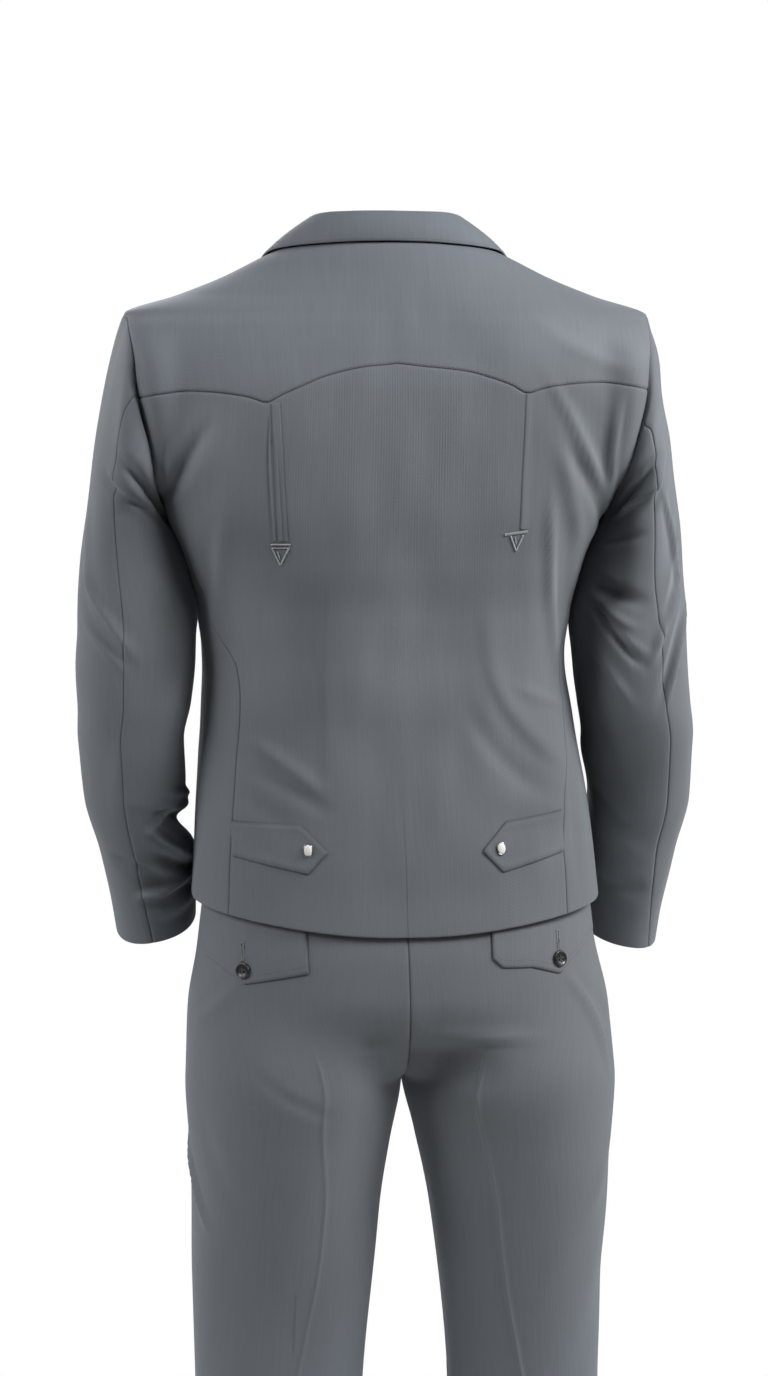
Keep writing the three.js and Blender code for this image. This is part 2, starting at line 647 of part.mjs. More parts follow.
function surfaceAt(table, x, z, front) {
  const turn = turnAt(table, x, z, front);
  const f = (u, v) => section(table, turn + (u - 0.5) * 0.1, z + (v - 0.5) * 10);
  return { p: section(table, turn, z), n: normalOf(f, 0.5, 0.5, fromAxis) };
}
function snapOn(name, x, z, front, height) {
  const { p, n } = surfaceAt(BODY, x, z, front);
  p.addScaledVector(n, height);
  put(name + "_rim", stud(rimProfile(0), p, n), METAL);
  put(name + "_cap", stud(capProfile(0), p, n), PEARL);
}
for (const [which, side] of SIDES)
  snapOn("tab_snap_" + which, side * TAB_SNAP.x, TAB_SNAP.z, false, LAID_LIFT + JACKET_WALL + 0.4);
FRONT_SNAP_Z.forEach((z, i) => snapOn(i ? "front_snap_lower" : "front_snap_upper", 0.1, z, true, LAP_LIFT + 0.9));

// ---- collar --------------------------------------------------------------------------------
function bodyNormal(turn, z) {
  const f = (u, v) => torso(turn + (u - 0.5) * 0.1, z + (v - 0.5) * 6);
  return normalOf(f, 0.5, 0.5, fromAxis);
}
function collarPoint(at, w) {
  const a = Math.abs(at);
  const roll = V(read(COLLAR, "rollX", a), read(COLLAR, "rollY", a), read(COLLAR, "rollZ", a));
  const [turn, z] = [rad(read(COLLAR, "edgeTurn", a)), read(COLLAR, "edgeZ", a)];
  const edge = torso(turn, z).addScaledVector(bodyNormal(turn, z), JACKET_WALL + COLLAR_LIFT);
  const bulge = COLLAR_BULGE * 4 * w * (1 - w);
  const free = roll.clone().lerp(edge, w).add(V(edge.x, edge.y, 0).normalize().multiplyScalar(bulge));
  const lay = read(COLLAR, "lay", a);
  if (lay > 0) {
    const under = surfaceAt(BODY, free.x, Math.min(free.z, 0), true);
    const on = under.p.y - (JACKET_WALL + COLLAR_LIFT) / Math.max(-under.n.y, 0.5);
    free.y = Math.min(lerp(free.y, on, lay), lay > 0.5 ? on : Infinity);
  }
  return V(Math.sign(at || 1) * free.x, free.y, free.z);
}
const collarAt = (u) => lerp(-7, 7, u);
const COLLAR_COLUMNS = [-7, -6.5, -6, -5.5, -5, -4.5, -4, -3.5, -3, -2.4, -1.8, -1.2, -0.6, 0];
const collarCols = [...COLLAR_COLUMNS, ...COLLAR_COLUMNS.slice(0, -1).reverse().map((c) => -c)];
const fall = grid((u, v) => collarPoint(collarAt(u), v), collarCols.map((c) => (c + 7) / 14), spread(4), (p) => V(p.x, p.y, 60));
put("collar_fall", wall(fall, 0, -JACKET_WALL), CLOTH);

// The neck edge that the stand is sewn to: over the yoke, then down the roll line.
function neckEdge(at) {
  const a = Math.abs(at);
  const z = a <= 4 ? neckZ(rad(read(COLLAR, "neckTurn", a))) : lerp(NECK_SIDE_Z, -34, ((a - 4) / 3) ** 1.6);
  const turn = a <= 4 ? rad(read(COLLAR.slice(0, 5), "neckTurn", a)) : turnAt(BODY, Math.min(rollX(z), read(BODY, "half", z) - 0.3), z, true);
  const p = torso(turn, z);
  return V(Math.sign(at || 1) * p.x, p.y, p.z);
}
function standPoint(at, w) {
  const u = (at + 7) / 14;
  const n = normalOf((a, b) => collarPoint(collarAt(a), b), u, 0, (p) => V(p.x, p.y, 60));
  const top = collarPoint(at, 0).addScaledVector(n, -(JACKET_WALL + 0.9 + smoothstep(Math.abs(at), 4, 5.3)));
  const foot = neckEdge(at);
  foot.x -= Math.sign(at) * 0.9 * smoothstep(Math.abs(at), 3.8, 4.6);
  return foot.lerp(top, lerp(0.03, 1, w));
}
const stand = grid(
  (u, v) => standPoint(lerp(-STAND_END, STAND_END, u), 1 - v),
  spread(26),
  [0, 0.5, 1],
);
put("collar_stand", wall(stand, 0, -JACKET_WALL), CLOTH);

// ---- sleeves -------------------------------------------------------------------------------
function armRing(turn, z) {
  const w = smoothstep(-z, 420, 640);
  const x = read(ARM, "wide", z) * power(Math.cos(turn), 0.9);
  const y = read(ARM, "deep", z) * power(Math.sin(turn), 0.9);
  return V(read(ARM, "x", z) + x, read(ARM, "y", z) + y, z - w * (CUFF_TILT.y * y + CUFF_TILT.x * x));
}
function armholePoint(turn) {
  const m = 2 / ARMHOLE.round;
  const y = (Math.sin(turn) > 0 ? ARMHOLE.back : ARMHOLE.front) * power(Math.sin(turn), m);
  const z = ARMHOLE.z + ARMHOLE.tall * power(Math.cos(turn), m);
  const n = read(BODY, "round", z);
  const x = read(BODY, "half", z) * (1 - Math.abs(y / read(BODY, y > 0 ? "back" : "front", z)) ** n) ** (1 / n);
  return V(x + ARMHOLE_GAP, y, z);
}
const CAP_SHARE = 0.36;
function sleeve(turn, v, cuff) {
  if (v >= CAP_SHARE) return armRing(turn, lerp(CAP_FOOT_Z, cuff, (v - CAP_SHARE) / (1 - CAP_SHARE)));
  const s = v / CAP_SHARE;
  const from = armholePoint(turn);
  const to = armRing(turn, CAP_FOOT_Z);
  const long = from.distanceTo(to);
  const down = (1 - Math.cos(turn)) / 2;
  const start = V(read(CAP, "out", down), 0.25 * Math.sin(turn), -read(CAP, "fall", down)).normalize();
  const end = armRing(turn, CAP_FOOT_Z - 1).sub(to).normalize();
  return from
    .multiplyScalar(2 * s ** 3 - 3 * s ** 2 + 1)
    .addScaledVector(start, (s ** 3 - 2 * s ** 2 + s) * long * lerp(0.12, 0.3, down))
    .addScaledVector(to, 3 * s ** 2 - 2 * s ** 3)
    .addScaledVector(end, (s ** 3 - s ** 2) * long * 0.9);
}
const CAP_ROWS = [0, 0.12, 0.26, 0.42, 0.58, 0.78, 1].map((s) => s * CAP_SHARE);
const ARM_ROWS = [0.1, 0.2, 0.3, 0.4, 0.5, 0.6, 0.7, 0.8, 0.9, 1].map((s) => lerp(CAP_SHARE, 1, s));
// Columns of the sleeve that start where the rows of the jacket's panels reach the armhole.
const around = (z, back) => {
  const t = clamp((z + GAP / 2 - ARMHOLE.z) / ARMHOLE.tall, -1, 1);
  const turn = Math.acos(power(t, ARMHOLE.round / 2));
  return back ? turn : -turn;
};
const yokeFoot = yokeEdgeZ(1);
const topColumns = [
  around(FRONT_SEAM_TOP, false),
  ...FRONT_TOP_LEVELS.filter((z) => z < SHOULDER_Z).reverse().map((z) => around(z, false)),
  0,
  ...YOKE_LEVELS.filter((z) => z < SHOULDER_Z).reverse().map((z) => around(z, true)),
  around((yokeFoot + YOKE_LEVELS[0]) / 2, true),
  around(yokeFoot, true),
];
const underColumns = [
  around(yokeFoot, true),
  ...BACK_MARKS.map((s) => around(lerp(yokeFoot, BACK_SEAM_TOP, s), true)),
  around(BACK_SEAM_TOP, true),
  ...sidePanel[0].slice(1, -1).map(({ p }) => (2 * Math.PI + around(p.z, p.y > 0)) % (2 * Math.PI)),
  2 * Math.PI + around(FRONT_SEAM_TOP, false),
];
function sleeveGrid(columns, which, side) {
  const [from, to] = [columns[0], columns.at(-1)];
  // the end of the columns that lies on the back seam moves along with it
  const ends = (v) => {
    const shift = rad(read(SLEEVE_SEAM, which, v));
    return columns === topColumns ? [from, to + shift] : [from + shift, to];
  };
  const cells = grid(
    (u, v) => {
      const cuff = CUFF_Z[which];
      const step = (at) => GAP / 2 / (sleeve(at + 1e-3, v, cuff).distanceTo(sleeve(at, v, cuff)) / 1e-3);
      const [start, end] = ends(v);
      return sleeve(lerp(start + step(start), end - step(end), u), v, cuff);
    },
    columns.map((c) => (c - from) / (to - from)),
    [...CAP_ROWS, ...ARM_ROWS],
    (p) => {
      const z = Math.min(p.z, CAP_FOOT_Z);
      return V(p.x - read(ARM, "x", z), p.y - read(ARM, "y", z), Math.max(0, (p.z + 170) * 2));
    },
  );
  return sided(cells, side);
}
for (const [which, side] of SIDES) {
  put("sleeve_top_" + which, wall(sleeveGrid(topColumns, which, side), 0, -JACKET_WALL), CLOTH);
  put("sleeve_under_" + which, wall(sleeveGrid(underColumns, which, side), 0, -JACKET_WALL), CLOTH);
}

// ---- trousers ------------------------------------------------------------------------------
// One side of the trousers: u runs from the centre back or inseam over the side to the front.
function legPoint(u, z, which) {
  const above = section(SEAT, clamp(u, 0, 1) * Math.PI, Math.max(z, CROTCH_Z));
  if (z >= FORK_START_Z) return above;
  const turn = 2 * Math.PI * u;
  const below = V(
    read(LEG, "x", z) - (read(LEG, "wide", z) + read(STANCE, which, z)) * power(Math.cos(turn), 0.92),
    read(LEG, "y", z) + read(LEG, "deep", z) * power(Math.sin(turn), 0.92),
    z,
  );
  if (z <= CROTCH_Z) return below;
  const s = (FORK_START_Z - z) / (FORK_START_Z - CROTCH_Z);
  const near = Math.cos(Math.PI * u) ** 8;
  const w = lerp(smoothstep(s, 0, 1), 1 - Math.sqrt(1 - s * s), near);
  above.z = z;
  return above.lerp(below, w);
}
const TROUSER_TOP_Z = WAIST_TOP_Z - WAISTBAND;
const LEG_LEVELS = [
  TROUSER_TOP_Z, -575, -611, -650, -680, -708, -732, -750, -762, CROTCH_Z, -795, -835, -885, -950, -1030, -1120, -1230, -1370,
  TROUSER_HEM_Z,
];
function legGrid(which, from, to) {
  return grid(
    (u, v) => {
      const z = lerp(TROUSER_TOP_Z - GAP, TROUSER_HEM_Z, v);
      const step = (at) => GAP / 2 / (legPoint(at + 1e-3, z, which).distanceTo(legPoint(at, z, which)) / 1e-3);
      const p = legPoint(lerp(from + step(from), to - step(to - 1e-3), u), z, which);
      p.x = Math.max(p.x, GAP / 2);
      return p;
    },
    spread(7),
    shares(LEG_LEVELS),
    (p) => (p.z > FORK_START_Z ? fromAxis(p) : V(p.x - read(LEG, "x", p.z), p.y - read(LEG, "y", p.z), 0)),
  );
}
for (const [which, side] of SIDES) {
  const legBack = legGrid(which, 0, 0.5);
  const legFront = legGrid(which, 0.5, 1);
  put("trouser_back_" + which, wall(sided(legBack, side), 0, -TROUSER_WALL), CLOTH);
  put("trouser_front_" + which, wall(sided(legFront, side), 0, -TROUSER_WALL), CLOTH);
  put("pocket_flap_" + which, laid(sided(legBack, side), flip(FLAP[which], side), 1.6, 0, 260), CLOTH);
  put("side_pocket_" + which, laid(sided(legFront, side), flip(SIDE_POCKET, side), 1.4, -260, 0), CLOTH);
  const { p, n } = surfaceAt(SEAT, side * FLAP_BUTTON[which].x, FLAP_BUTTON[which].z, false);
  put("flap_button_" + which, stud(buttonProfile(0), p.addScaledVector(n, LAID_LIFT + 1.6 - 0.7), n), DARK);
}
put("trouser_fly", laid(legGrid("left", 0.5, 1), FLY, 1.4, -260, 0), CLOTH);

const band = grid(
  (u, v) => {
    const edge = Math.PI - 0.0015;
    return section(SEAT, lerp(-edge, edge, u), lerp(WAIST_TOP_Z, WAIST_TOP_Z - WAISTBAND, v));
  },
  spread(28),
  spread(1),
);
put("waistband", wall(band, 0.4, -TROUSER_WALL), CLOTH);
const buttonSeat = surfaceAt(SEAT, 12, WAIST_TOP_Z - WAISTBAND / 2, true);
put("waistband_button", stud(buttonProfile(0), buttonSeat.p.addScaledVector(buttonSeat.n, 0.4 + 0.4), buttonSeat.n), DARK);

export default suit;
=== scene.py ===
"""A worn western suit in slate-grey ribbed suiting: yoked jacket with action pleats, and trousers.

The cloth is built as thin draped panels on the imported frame, in millimetres, then set down in metres.
"""
import json
import math

import bpy
import numpy as np
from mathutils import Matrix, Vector


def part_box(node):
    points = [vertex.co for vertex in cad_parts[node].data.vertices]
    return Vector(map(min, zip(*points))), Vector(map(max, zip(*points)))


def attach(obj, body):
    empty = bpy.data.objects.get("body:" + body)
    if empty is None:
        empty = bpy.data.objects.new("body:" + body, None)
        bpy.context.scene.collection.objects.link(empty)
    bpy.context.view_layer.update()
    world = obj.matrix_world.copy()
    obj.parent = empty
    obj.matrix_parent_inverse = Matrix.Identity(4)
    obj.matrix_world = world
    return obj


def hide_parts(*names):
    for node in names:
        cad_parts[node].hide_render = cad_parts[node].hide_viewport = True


bl_info = {
    "name": "Western suit",
    "version": (1, 0, 0),
    "blender": (4, 5, 0),
    "location": "View3D > Sidebar > Suit",
    "description": "Builds a worn western suit, panel by panel, on its packed frame",
    "category": "Object",
}

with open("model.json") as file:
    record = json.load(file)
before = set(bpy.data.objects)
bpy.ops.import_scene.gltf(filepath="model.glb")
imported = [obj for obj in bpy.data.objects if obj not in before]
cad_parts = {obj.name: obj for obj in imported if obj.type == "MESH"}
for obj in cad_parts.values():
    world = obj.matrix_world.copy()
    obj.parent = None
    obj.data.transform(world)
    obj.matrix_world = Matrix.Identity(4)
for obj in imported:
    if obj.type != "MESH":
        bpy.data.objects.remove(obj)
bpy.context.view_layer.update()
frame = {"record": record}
SLOT_COLOUR = {m["slot"]: tuple(m["base_color"]) for m in frame["record"]["materials"]}


# ---- tables and curves ---------------------------------------------------------------------


def table(columns, *rows):
    """A chart with named columns; the first column is the key."""
    return dict(zip(columns.split(), np.array(rows, float).T))


def fold_chart(*rows):
    """Folds, or the painted light and shade along them, each from (a0, z0) to (a1, z1), bowed by bend, with
    half width wide and height high.

    steep is how much narrower the lower flank is; a height out of the cloth, or a painted lightening, is
    positive.
    """
    return table("a0 z0 a1 z1 bend wide high steep", *rows)


# The jacket's level sections: half width, depth behind and before the side line, squareness.
BODY = table(
    "z half back front round",
    (14, 66, 50, 40, 2.1),
    (3, 83, 57, 44, 2.0),
    (-6, 106, 64, 48, 1.9),
    (-29, 153, 76, 56, 1.85),
    (-45, 193, 84, 62, 1.9),
    (-63, 242, 92, 70, 2.3),
    (-76, 242, 98, 77, 3.1),
    (-100, 240, 108, 88, 3.6),
    (-134, 237, 118, 101, 3.7),
    (-190, 226, 124, 118, 3.4),
    (-240, 206, 126, 125, 3.0),
    (-290, 184, 122, 126, 2.7),
    (-336, 172.3, 113.6, 121.9, 2.6),
    (-384, 168.8, 108.8, 118.8, 2.6),
    (-430, 173, 110, 119, 2.6),
    (-495, 181, 119, 124, 2.6),
    (-555, 186, 126, 128, 2.6),
    (-600, 190, 130, 130, 2.6),
    (-640, 193, 133, 132, 2.6),
)
# Lower edge of the yoke, from the centre back out to the armhole.
YOKE_EDGE = table(
    "x z",
    (0, -110),
    (45, -115.5),
    (65, -119.5),
    (86, -127),
    (104, -134.5),
    (117, -141),
    (128, -137.5),
    (139, -135),
    (160, -132),
    (186, -130.5),
    (213, -134),
    (240, -138),
)
# Long seams of the jacket: degrees round the body from the centre back.
SEAMS = table(
    "z left right front",
    (-180, 81, 81, 97),
    (-225, 79, 79, 99),
    (-300, 76.5, 76, 103),
    (-325, 74.5, 75, 105),
    (-350, 69.5, 73.5, 107),
    (-384, 61.2, 71, 108),
    (-412, 60.1, 70, 109),
    (-466, 61, 66, 109.5),
    (-515, 61, 60.5, 110),
    (-552, 61.2, 58, 110),
    (-630, 61.5, 57.5, 110),
)
# The arm below the cap: centre and half sizes of each level ring.
ARM = table(
    "z x y wide deep",
    (-290, 233.5, 6, 47, 71),
    (-345, 229, 10, 55, 69),
    (-373, 230, 12, 55, 67),
    (-420, 233.5, 8, 52.5, 64),
    (-455, 239, 0, 49.5, 62),
    (-507, 238.5, -22, 48, 60),
    (-556, 231, -48, 44.5, 57),
    (-604, 225, -70, 40.5, 54),
    (-650, 222, -88, 37, 52.5),
)
# How the cap leaves the armhole, by the share of the way down from the shoulder point.
CAP = table("down out fall", (0, 1, 0.3), (0.5, 0.9, 0.5), (0.8, 0.35, 0.95), (1, -0.25, 1))
# How far the back seam of each sleeve turns from where the yoke meets the armhole, in degrees, down the
# sleeve.
SLEEVE_SEAM = table(
    "down left right",
    (0, 0, 0),
    (0.045, -4, 14),
    (0.12, -9, 7),
    (0.22, -13, 4),
    (0.36, -8, 2),
    (0.5, -5, -9),
    (0.65, -4.5, -6.5),
    (0.8, -6, -7),
    (0.9, -5, -15),
    (1, 1, -27),
)
# The collar, from the centre back (0) over the shoulder seam (4) to the gorge (7).
COLLAR = table(
    "at roll_x roll_y roll_z edge_turn edge_z lay neck_turn",
    (0, 0, 50, 30, 0, 0, 0, 0),
    (1, 26, 47.5, 30, 29, -0.5, 0, 30),
    (2, 48, 38, 30, 53, -2, 0, 55),
    (3, 64, 20, 29, 73, -4, 0, 76),
    (4, 71, 2, 26.5, 90, -7, 0, 91),
    (5, 73, -16, 15, 103, -22, 0.4, 0),
    (6, 72, -33, -4, 110, -40, 0.9, 0),
    (7, 69, -51, -35, 120, -62, 1, 0),
)
NECK_SEAM = {name: column[:5] for name, column in COLLAR.items()}
# The trousers above the fork, as level sections like the jacket's.
SEAT = table(
    "z half back front round",
    (-490, 161, 98, 103, 2.4),
    (-540, 171, 106, 108, 2.4),
    (-611, 181, 116, 111, 2.4),
    (-650, 187, 123, 112, 2.4),
    (-700, 197.5, 129, 112, 2.4),
    (-740, 200.5, 130, 110, 2.3),
    (-780, 201, 128, 108, 2.3),
)
LEG = table(
    "z x y wide deep",
    (-680, 99, 8, 98.7, 118),
    (-767, 100.6, 8, 100.3, 116),
    (-823, 104.5, 6, 94, 108),
    (-900, 110, 2, 86, 98),
    (-1060, 116, -4, 75, 80),
    (-1200, 119, 2, 72, 74),
    (-1400, 123, 9, 71, 72),
    (-1530, 124.5, 10, 72, 74),
)
# How far the standing figure sways to its left (+X) at each height.
LEAN = table(
    "z x",
    (20, -1.5),
    (-66, -2.5),
    (-150, -1.5),
    (-240, 0.5),
    (-365, 1),
    (-450, -4),
    (-500, -6.5),
    (-560, -9),
    (-620, -10.5),
    (-700, -13),
    (-767, -14.5),
    (-900, -16.2),
    (-1530, -17),
)
# How much wider each leg stands than the table above, the left one forward and the right one turned.
STANCE = table(
    "z left right",
    (-767, 0, 0),
    (-850, 0.6, -2.8),
    (-960, 4, -3.8),
    (-1300, 2, -2),
    (-1530, 0, 0),
)
# What lies on the back of each side: upper and lower edges from the middle outwards.
TAB = {
    "left": table("x top foot", (69, -547, -547), (88, -527, -568), (94, -521.5, -566.8), (154, -521, -554)),
    "right": table(
        "x top foot", (69, -547.5, -547.5), (88, -526.4, -568), (93, -521, -566.6), (148, -513.5, -552)
    ),
}
# Action pleats: heights of the top and the foot, and how far out the fold is at each.
PLEAT = {"left": (-142, -269, 114.2, 104.6), "right": (-141, -258.5, 114.2, 111.4)}
# Arrowheads: middle, top, half width and height; then their strokes, in shares of those, and the width of
# each.
ARROW = {"left": (102, -270.5, 8.8, 19.5), "right": (109.3, -260, 10.5, 17.5)}
ARROW_STROKES = {
    "left": (
        (-1, 0.03, 1, 0.03, 1.5),
        (-0.86, 0.17, 0, 0.98, 1.4),
        (0.86, 0.17, 0, 0.98, 1.4),
        (-0.8, 0.19, 0.8, 0.19, 0.8),
        (0.3, 0.34, 0.02, 0.7, 1.0),
    ),
    "right": (
        (1, -0.02, -1, 0.14, 2.6),
        (0.6, 0.16, 0.02, 0.98, 1.6),
        (-0.5, 0.2, 0.02, 0.98, 1.6),
        (-0.12, 0.24, 0.02, 0.6, 0.8),
    ),
}
FLAP = {
    "left": table("x foot", (88.5, -658), (145, -670.5), (180, -650)),
    "right": table("x foot", (75, -646), (84, -655), (112, -656), (139, -664), (180, -632.5)),
}
FLAP_BUTTON = {"left": (144.5, -658), "right": (137.5, -650)}
# Strokes of a worked buttonhole above its button, in millimetres, and the width of each.
BUTTONHOLE_STROKES = (
    (-1.6, 24, -0.8, 9.5, 1.5),
    (1.2, 24, 0.6, 9.5, 1.5),
    (-2.0, 24.6, 1.6, 24.6, 2.0),
    (-1.4, 9, 1.2, 9, 2.0),
)
LAPEL_EDGE = table("x z", (132, -82), (119, -112), (99, -153), (73, -201), (45, -251), (20, -295), (4, -316))

# On the back, a is x; the wearer's left is positive.
BACK_FOLDS = fold_chart(
    (190, -238, 140, -136, 1, 14, 2.4, 0.5),
    (208, -238, 172, -168, 0, 6, -7.0, 1),
    (207, -228, 206, -180, 0, 3, -4.0, 1),
    (160, -362, 153, -248, 0, 9, 2.6, 0.6),
    (168, -334, 166, -262, 0, 7, -2.4, 1),
    (166, -455, 163, -345, 0, 8, -3.0, 1),
    (66, -490, 58, -322, 0, 17, 2.6, 0.35),
    (94, -462, 88, -340, 0, 14, -1.8, 1),
    (73, -497, 130, -452, 2, 9, 3.0, 0.6),
    (70, -510, 132, -476, 2, 8, -2.2, 1),
    (104, -524, 150, -486, -4, 10, -1.6, 1),
    (-139, -124, -193, -222, 0, 5, 5.0, 0.8),
    (-172, -142, -194, -208, 0, 9, -2.0, 1),
    (-203, -138, -205, -238, 4, 4.6, 4.8, 0.7),
    (-158, -186, -204, -262, 0, 6, -4.2, 1),
    (-150, -188, -173, -266, 0, 8, 3.4, 0.7),
    (-130, -250, -136, -376, 0, 18, 1.6, 0.9),
    (-143, -234, -150, -366, 2, 6, 5.5, 0.8),
    (-158, -244, -163, -330, 0, 6, -2.2, 1),
    (-92, -400, -84, -330, -3, 11, 1.5, 0.6),
    (-146, -468, -88, -392, -7, 11, 3.2, 0.6),
    (-108, -400, -158, -417, 2, 7, 1.8, 0.8),
    (-124, -493, -66, -424, -7, 10, -2.6, 0.9),
    (-132, -75, -219, -117, 4.5, 9, 2.4, 0.7),
    (-160, -462, -165, -600, 2, 4, -1.4, 1),
    (-169, -470, -174, -605, 2, 5, 1.8, 0.7),
    (-80, -500, -160, -522, -4, 14, 1.4, 0.8),
    (140, -590, 120, -500, 4, 14, 1.2, 1),
    (-126, -596, -120, -500, -4, 14, 1.4, 1),
)
# On the front, a is x too.
FRONT_FOLDS = fold_chart(
    (196, -226, 140, -160, 4, 9, 3.0, 0.7),
    (-196, -226, -140, -160, -4, 9, 3.0, 0.7),
    (20, -345, 120, -370, -8, 12, 2.4, 0.6),
    (24, -352, 112, -420, 6, 12, 2.0, 0.7),
    (-24, -342, -128, -362, 8, 12, 2.6, 0.6),
    (-26, -350, -110, -424, -6, 12, 1.8, 0.7),
    (150, -300, 158, -470, 5, 14, 2.2, 0.8),
    (-150, -306, -156, -480, -5, 14, 2.2, 0.8),
)
# Painted light and shade: how much lighter or darker the cloth is painted along the folds, as highlights on
# their crests and shade in their hollows.
BACK_PAINTED_LIGHT = fold_chart(
    (-143, -228, -146, -334, 0, 4, 0.32, 1),
    (-146, -292, -160, -388, 0, 4, 0.32, 1),
    (-142, -132, -192, -220, 0, 6, 0.2, 0.8),
    (-206, -146, -198, -200, 0, 3.4, 0.32, 1),
    (-197, -185, -207, -246, 0, 3.2, 0.36, 1),
    (-190, -206, -201, -260, 0, 4.5, -0.5, 1),
    (172, -140, 158, -245, 0, 26, 0.36, 1),
    (-150, -150, -184, -235, 0, 22, 0.2, 1),
    (-130, -598, 130, -598, 0, 26, 0.15, 1),
    (-120, -75, -225, -105, 0, 26, 0.36, 1),
    (118, -290, 122, -430, 0, 34, 0.22, 1),
    (0, -280, -6, -440, 0, 40, 0.38, 1),
    (120, -430, 90, -530, 0, 30, -0.1, 1),
    (-120, -430, -140, -530, 0, 26, -0.27, 1),
)
# Painted light and shade along the folds of each sleeve; a is degrees round it, as for the sleeve's folds.
LEFT_SLEEVE_PAINTED_LIGHT = fold_chart(
    (132, -530, 240, -542, 0, 13, 1.8, 1),
    (136, -564, 240, -570, 0, 9, 1.4, 1),
    (156, -517, 98, -537, -3, 2.8, 0.35, 1),
    (98, -536, 146, -566, -2, 2.8, 0.35, 1),
    (70, -563, 140, -581, 0, 6, -0.3, 1),
    (74, -588, 160, -597, 0, 13, -0.6, 0.8),
    (160, -579, 80, -600, 2, 2.8, 0.8, 1),
    (60, -170, 62, -300, 0, 22, -0.16, 1),
    (80, -445, 86, -540, 0, 30, 0.32, 1),
    (118, -310, 132, -400, 0, 22, -0.6, 1),
)
RIGHT_SLEEVE_PAINTED_LIGHT = fold_chart(
    (46, -250, 58, -322, 1, 3.2, 0.6, 1),
    (56, -303, 76, -376, 1, 3.2, 0.6, 1),
    (37, -326, 68, -390, 1, 3.2, 0.5, 1),
    (70, -228, 70, -300, 0, 11, 0.22, 1),
    (60, -150, 62, -285, 0, 22, 0.24, 1),
    (82, -150, 118, -218, 0, 16, 0.7, 1),
    (116, -250, 116, -335, 0, 22, -0.3, 1),
    (98, -310, 140, -334, 0, 11, -0.35, 1),
    (112, -312, 150, -410, 0, 20, -0.6, 1),
    (138, -345, 142, -450, 0, 14, -0.3, 1),
    (156, -324, 84, -369, 0, 4.5, 0.6, 0.8),
    (118, -346, 101, -378, 0, 3.4, -0.35, 1),
    (84, -193, 156, -244, 0, 5, -0.4, 1),
    (80, -500, 86, -595, 0, 30, 0.34, 1),
)
# On a sleeve, a is degrees round it: 0 outside, 90 behind, 180 against the body, -90 before.
SLEEVE_FRONT_FOLDS = (
    (-40, -440, -110, -470, 6, 9, -4.0, 0.7),
    (-30, -470, -120, -492, 6, 9, 3.4, 0.7),
    (-20, -250, -60, -330, 5, 12, 2.4, 0.8),
)
LEFT_SLEEVE_FOLDS = fold_chart(
    (82, -199, 150, -252, -2, 6, -11.0, 0.8),
    (44, -207, 122, -250, 1, 5, -5.4, 0.8),
    (62, -206, 96, -236, 0, 8, 2.6, 0.7),
    (24, -296, 86, -371, 2, 6, 4.6, 0.6),
    (24, -322, 78, -378, 2, 5, -2.6, 1),
    (24, -340, 78, -384, 2, 5.5, 3.2, 0.6),
    (10, -240, 46, -330, 0, 9, 2.0, 0.7),
    (86, -400, 70, -500, 4, 12, 1.4, 0.8),
    (292, -539, 104, -523, 0, 18, -17.0, 0.4),
    (188, -506, 122, -500, 0, 5, 5.0, 0.7),
    (160, -516, 99, -537, -3, 3.4, 7.5, 0.7),
    (99, -536, 150, -567, -2, 3.4, 7.5, 0.7),
    (96, -560, 158, -584, 0, 6, -9.0, 1),
    (50, -564, 100, -580, 0, 6, -6.0, 1),
    (78, -604, 160, -578, 0, 4.4, 10.0, 0.7),
    (88, -613, 154, -594, 0, 7, -7.5, 1),
    (160, -612, 84, -632, 3, 7, -3.6, 0.8),
    *SLEEVE_FRONT_FOLDS,
)
RIGHT_SLEEVE_FOLDS = fold_chart(
    (138, -246, 80, -197, 0, 5, -7.5, 1),
    (70, -213, 136, -250, 0, 5.5, 5.4, 0.6),
    (84, -238, 56, -198, 0, 5, -4.0, 1),
    (122, -236, 112, -334, 0, 20, -4.5, 1),
    (146, -272, 92, -264, 0, 5, -3.4, 1),
    (48, -300, 66, -232, 0, 5, 7.0, 0.7),
    (142, -310, 90, -326, 0, 7, -7.0, 1),
    (98, -348, 150, -318, 0, 5, 6.0, 0.6),
    (132, -331, 92, -381, 0, 4.2, -8.5, 1),
    (106, -416, 138, -362, 0, 6, 5.0, 0.7),
    (46, -304, 78, -374, 0, 4.4, 8.0, 0.7),
    (30, -326, 68, -412, 0, 4.6, 7.0, 0.7),
    (42, -340, 76, -418, 0, 6, -4.0, 0.9),
    (160, -500, 100, -540, 4, 9, -2.6, 0.8),
    (158, -520, 90, -566, 4, 9, 2.4, 0.8),
    (140, -590, 70, -604, 3, 9, -2.4, 0.8),
    *SLEEVE_FRONT_FOLDS,
)
# On a trouser leg, a is degrees round it: 0 at the inseam and centre back, 90 behind, 180 at the side and
# 270 before.
LEFT_LEG_FOLDS = fold_chart(
    (154, -710, 118, -670, 3, 9, 2.4, 0.6),
    (112, -746, 74, -789, 5, 4, -2.0, 1),
    (18, -720, 48, -725, 0, 4.6, -2.4, 1),
    (18, -734, 44, -738, 0, 8, 1.6, 0.8),
    (182, -832, 146, -900, 3, 6, 5.6, 0.6),
    (150, -800, 118, -880, 5, 11, -1.6, 0.8),
    (80, -1130, 140, -1100, 5, 14, 2.8, 0.7),
    (60, -1150, 120, -1170, 5, 14, -2.4, 0.8),
    (60, -1450, 130, -1474, 6, 14, 3.4, 0.7),
    (240, -1460, 310, -1440, 6, 14, 4.4, 0.6),
    (300, -760, 345, -736, 4, 12, 3.6, 0.7),
    (290, -790, 350, -772, 4, 12, -3.0, 0.7),
)
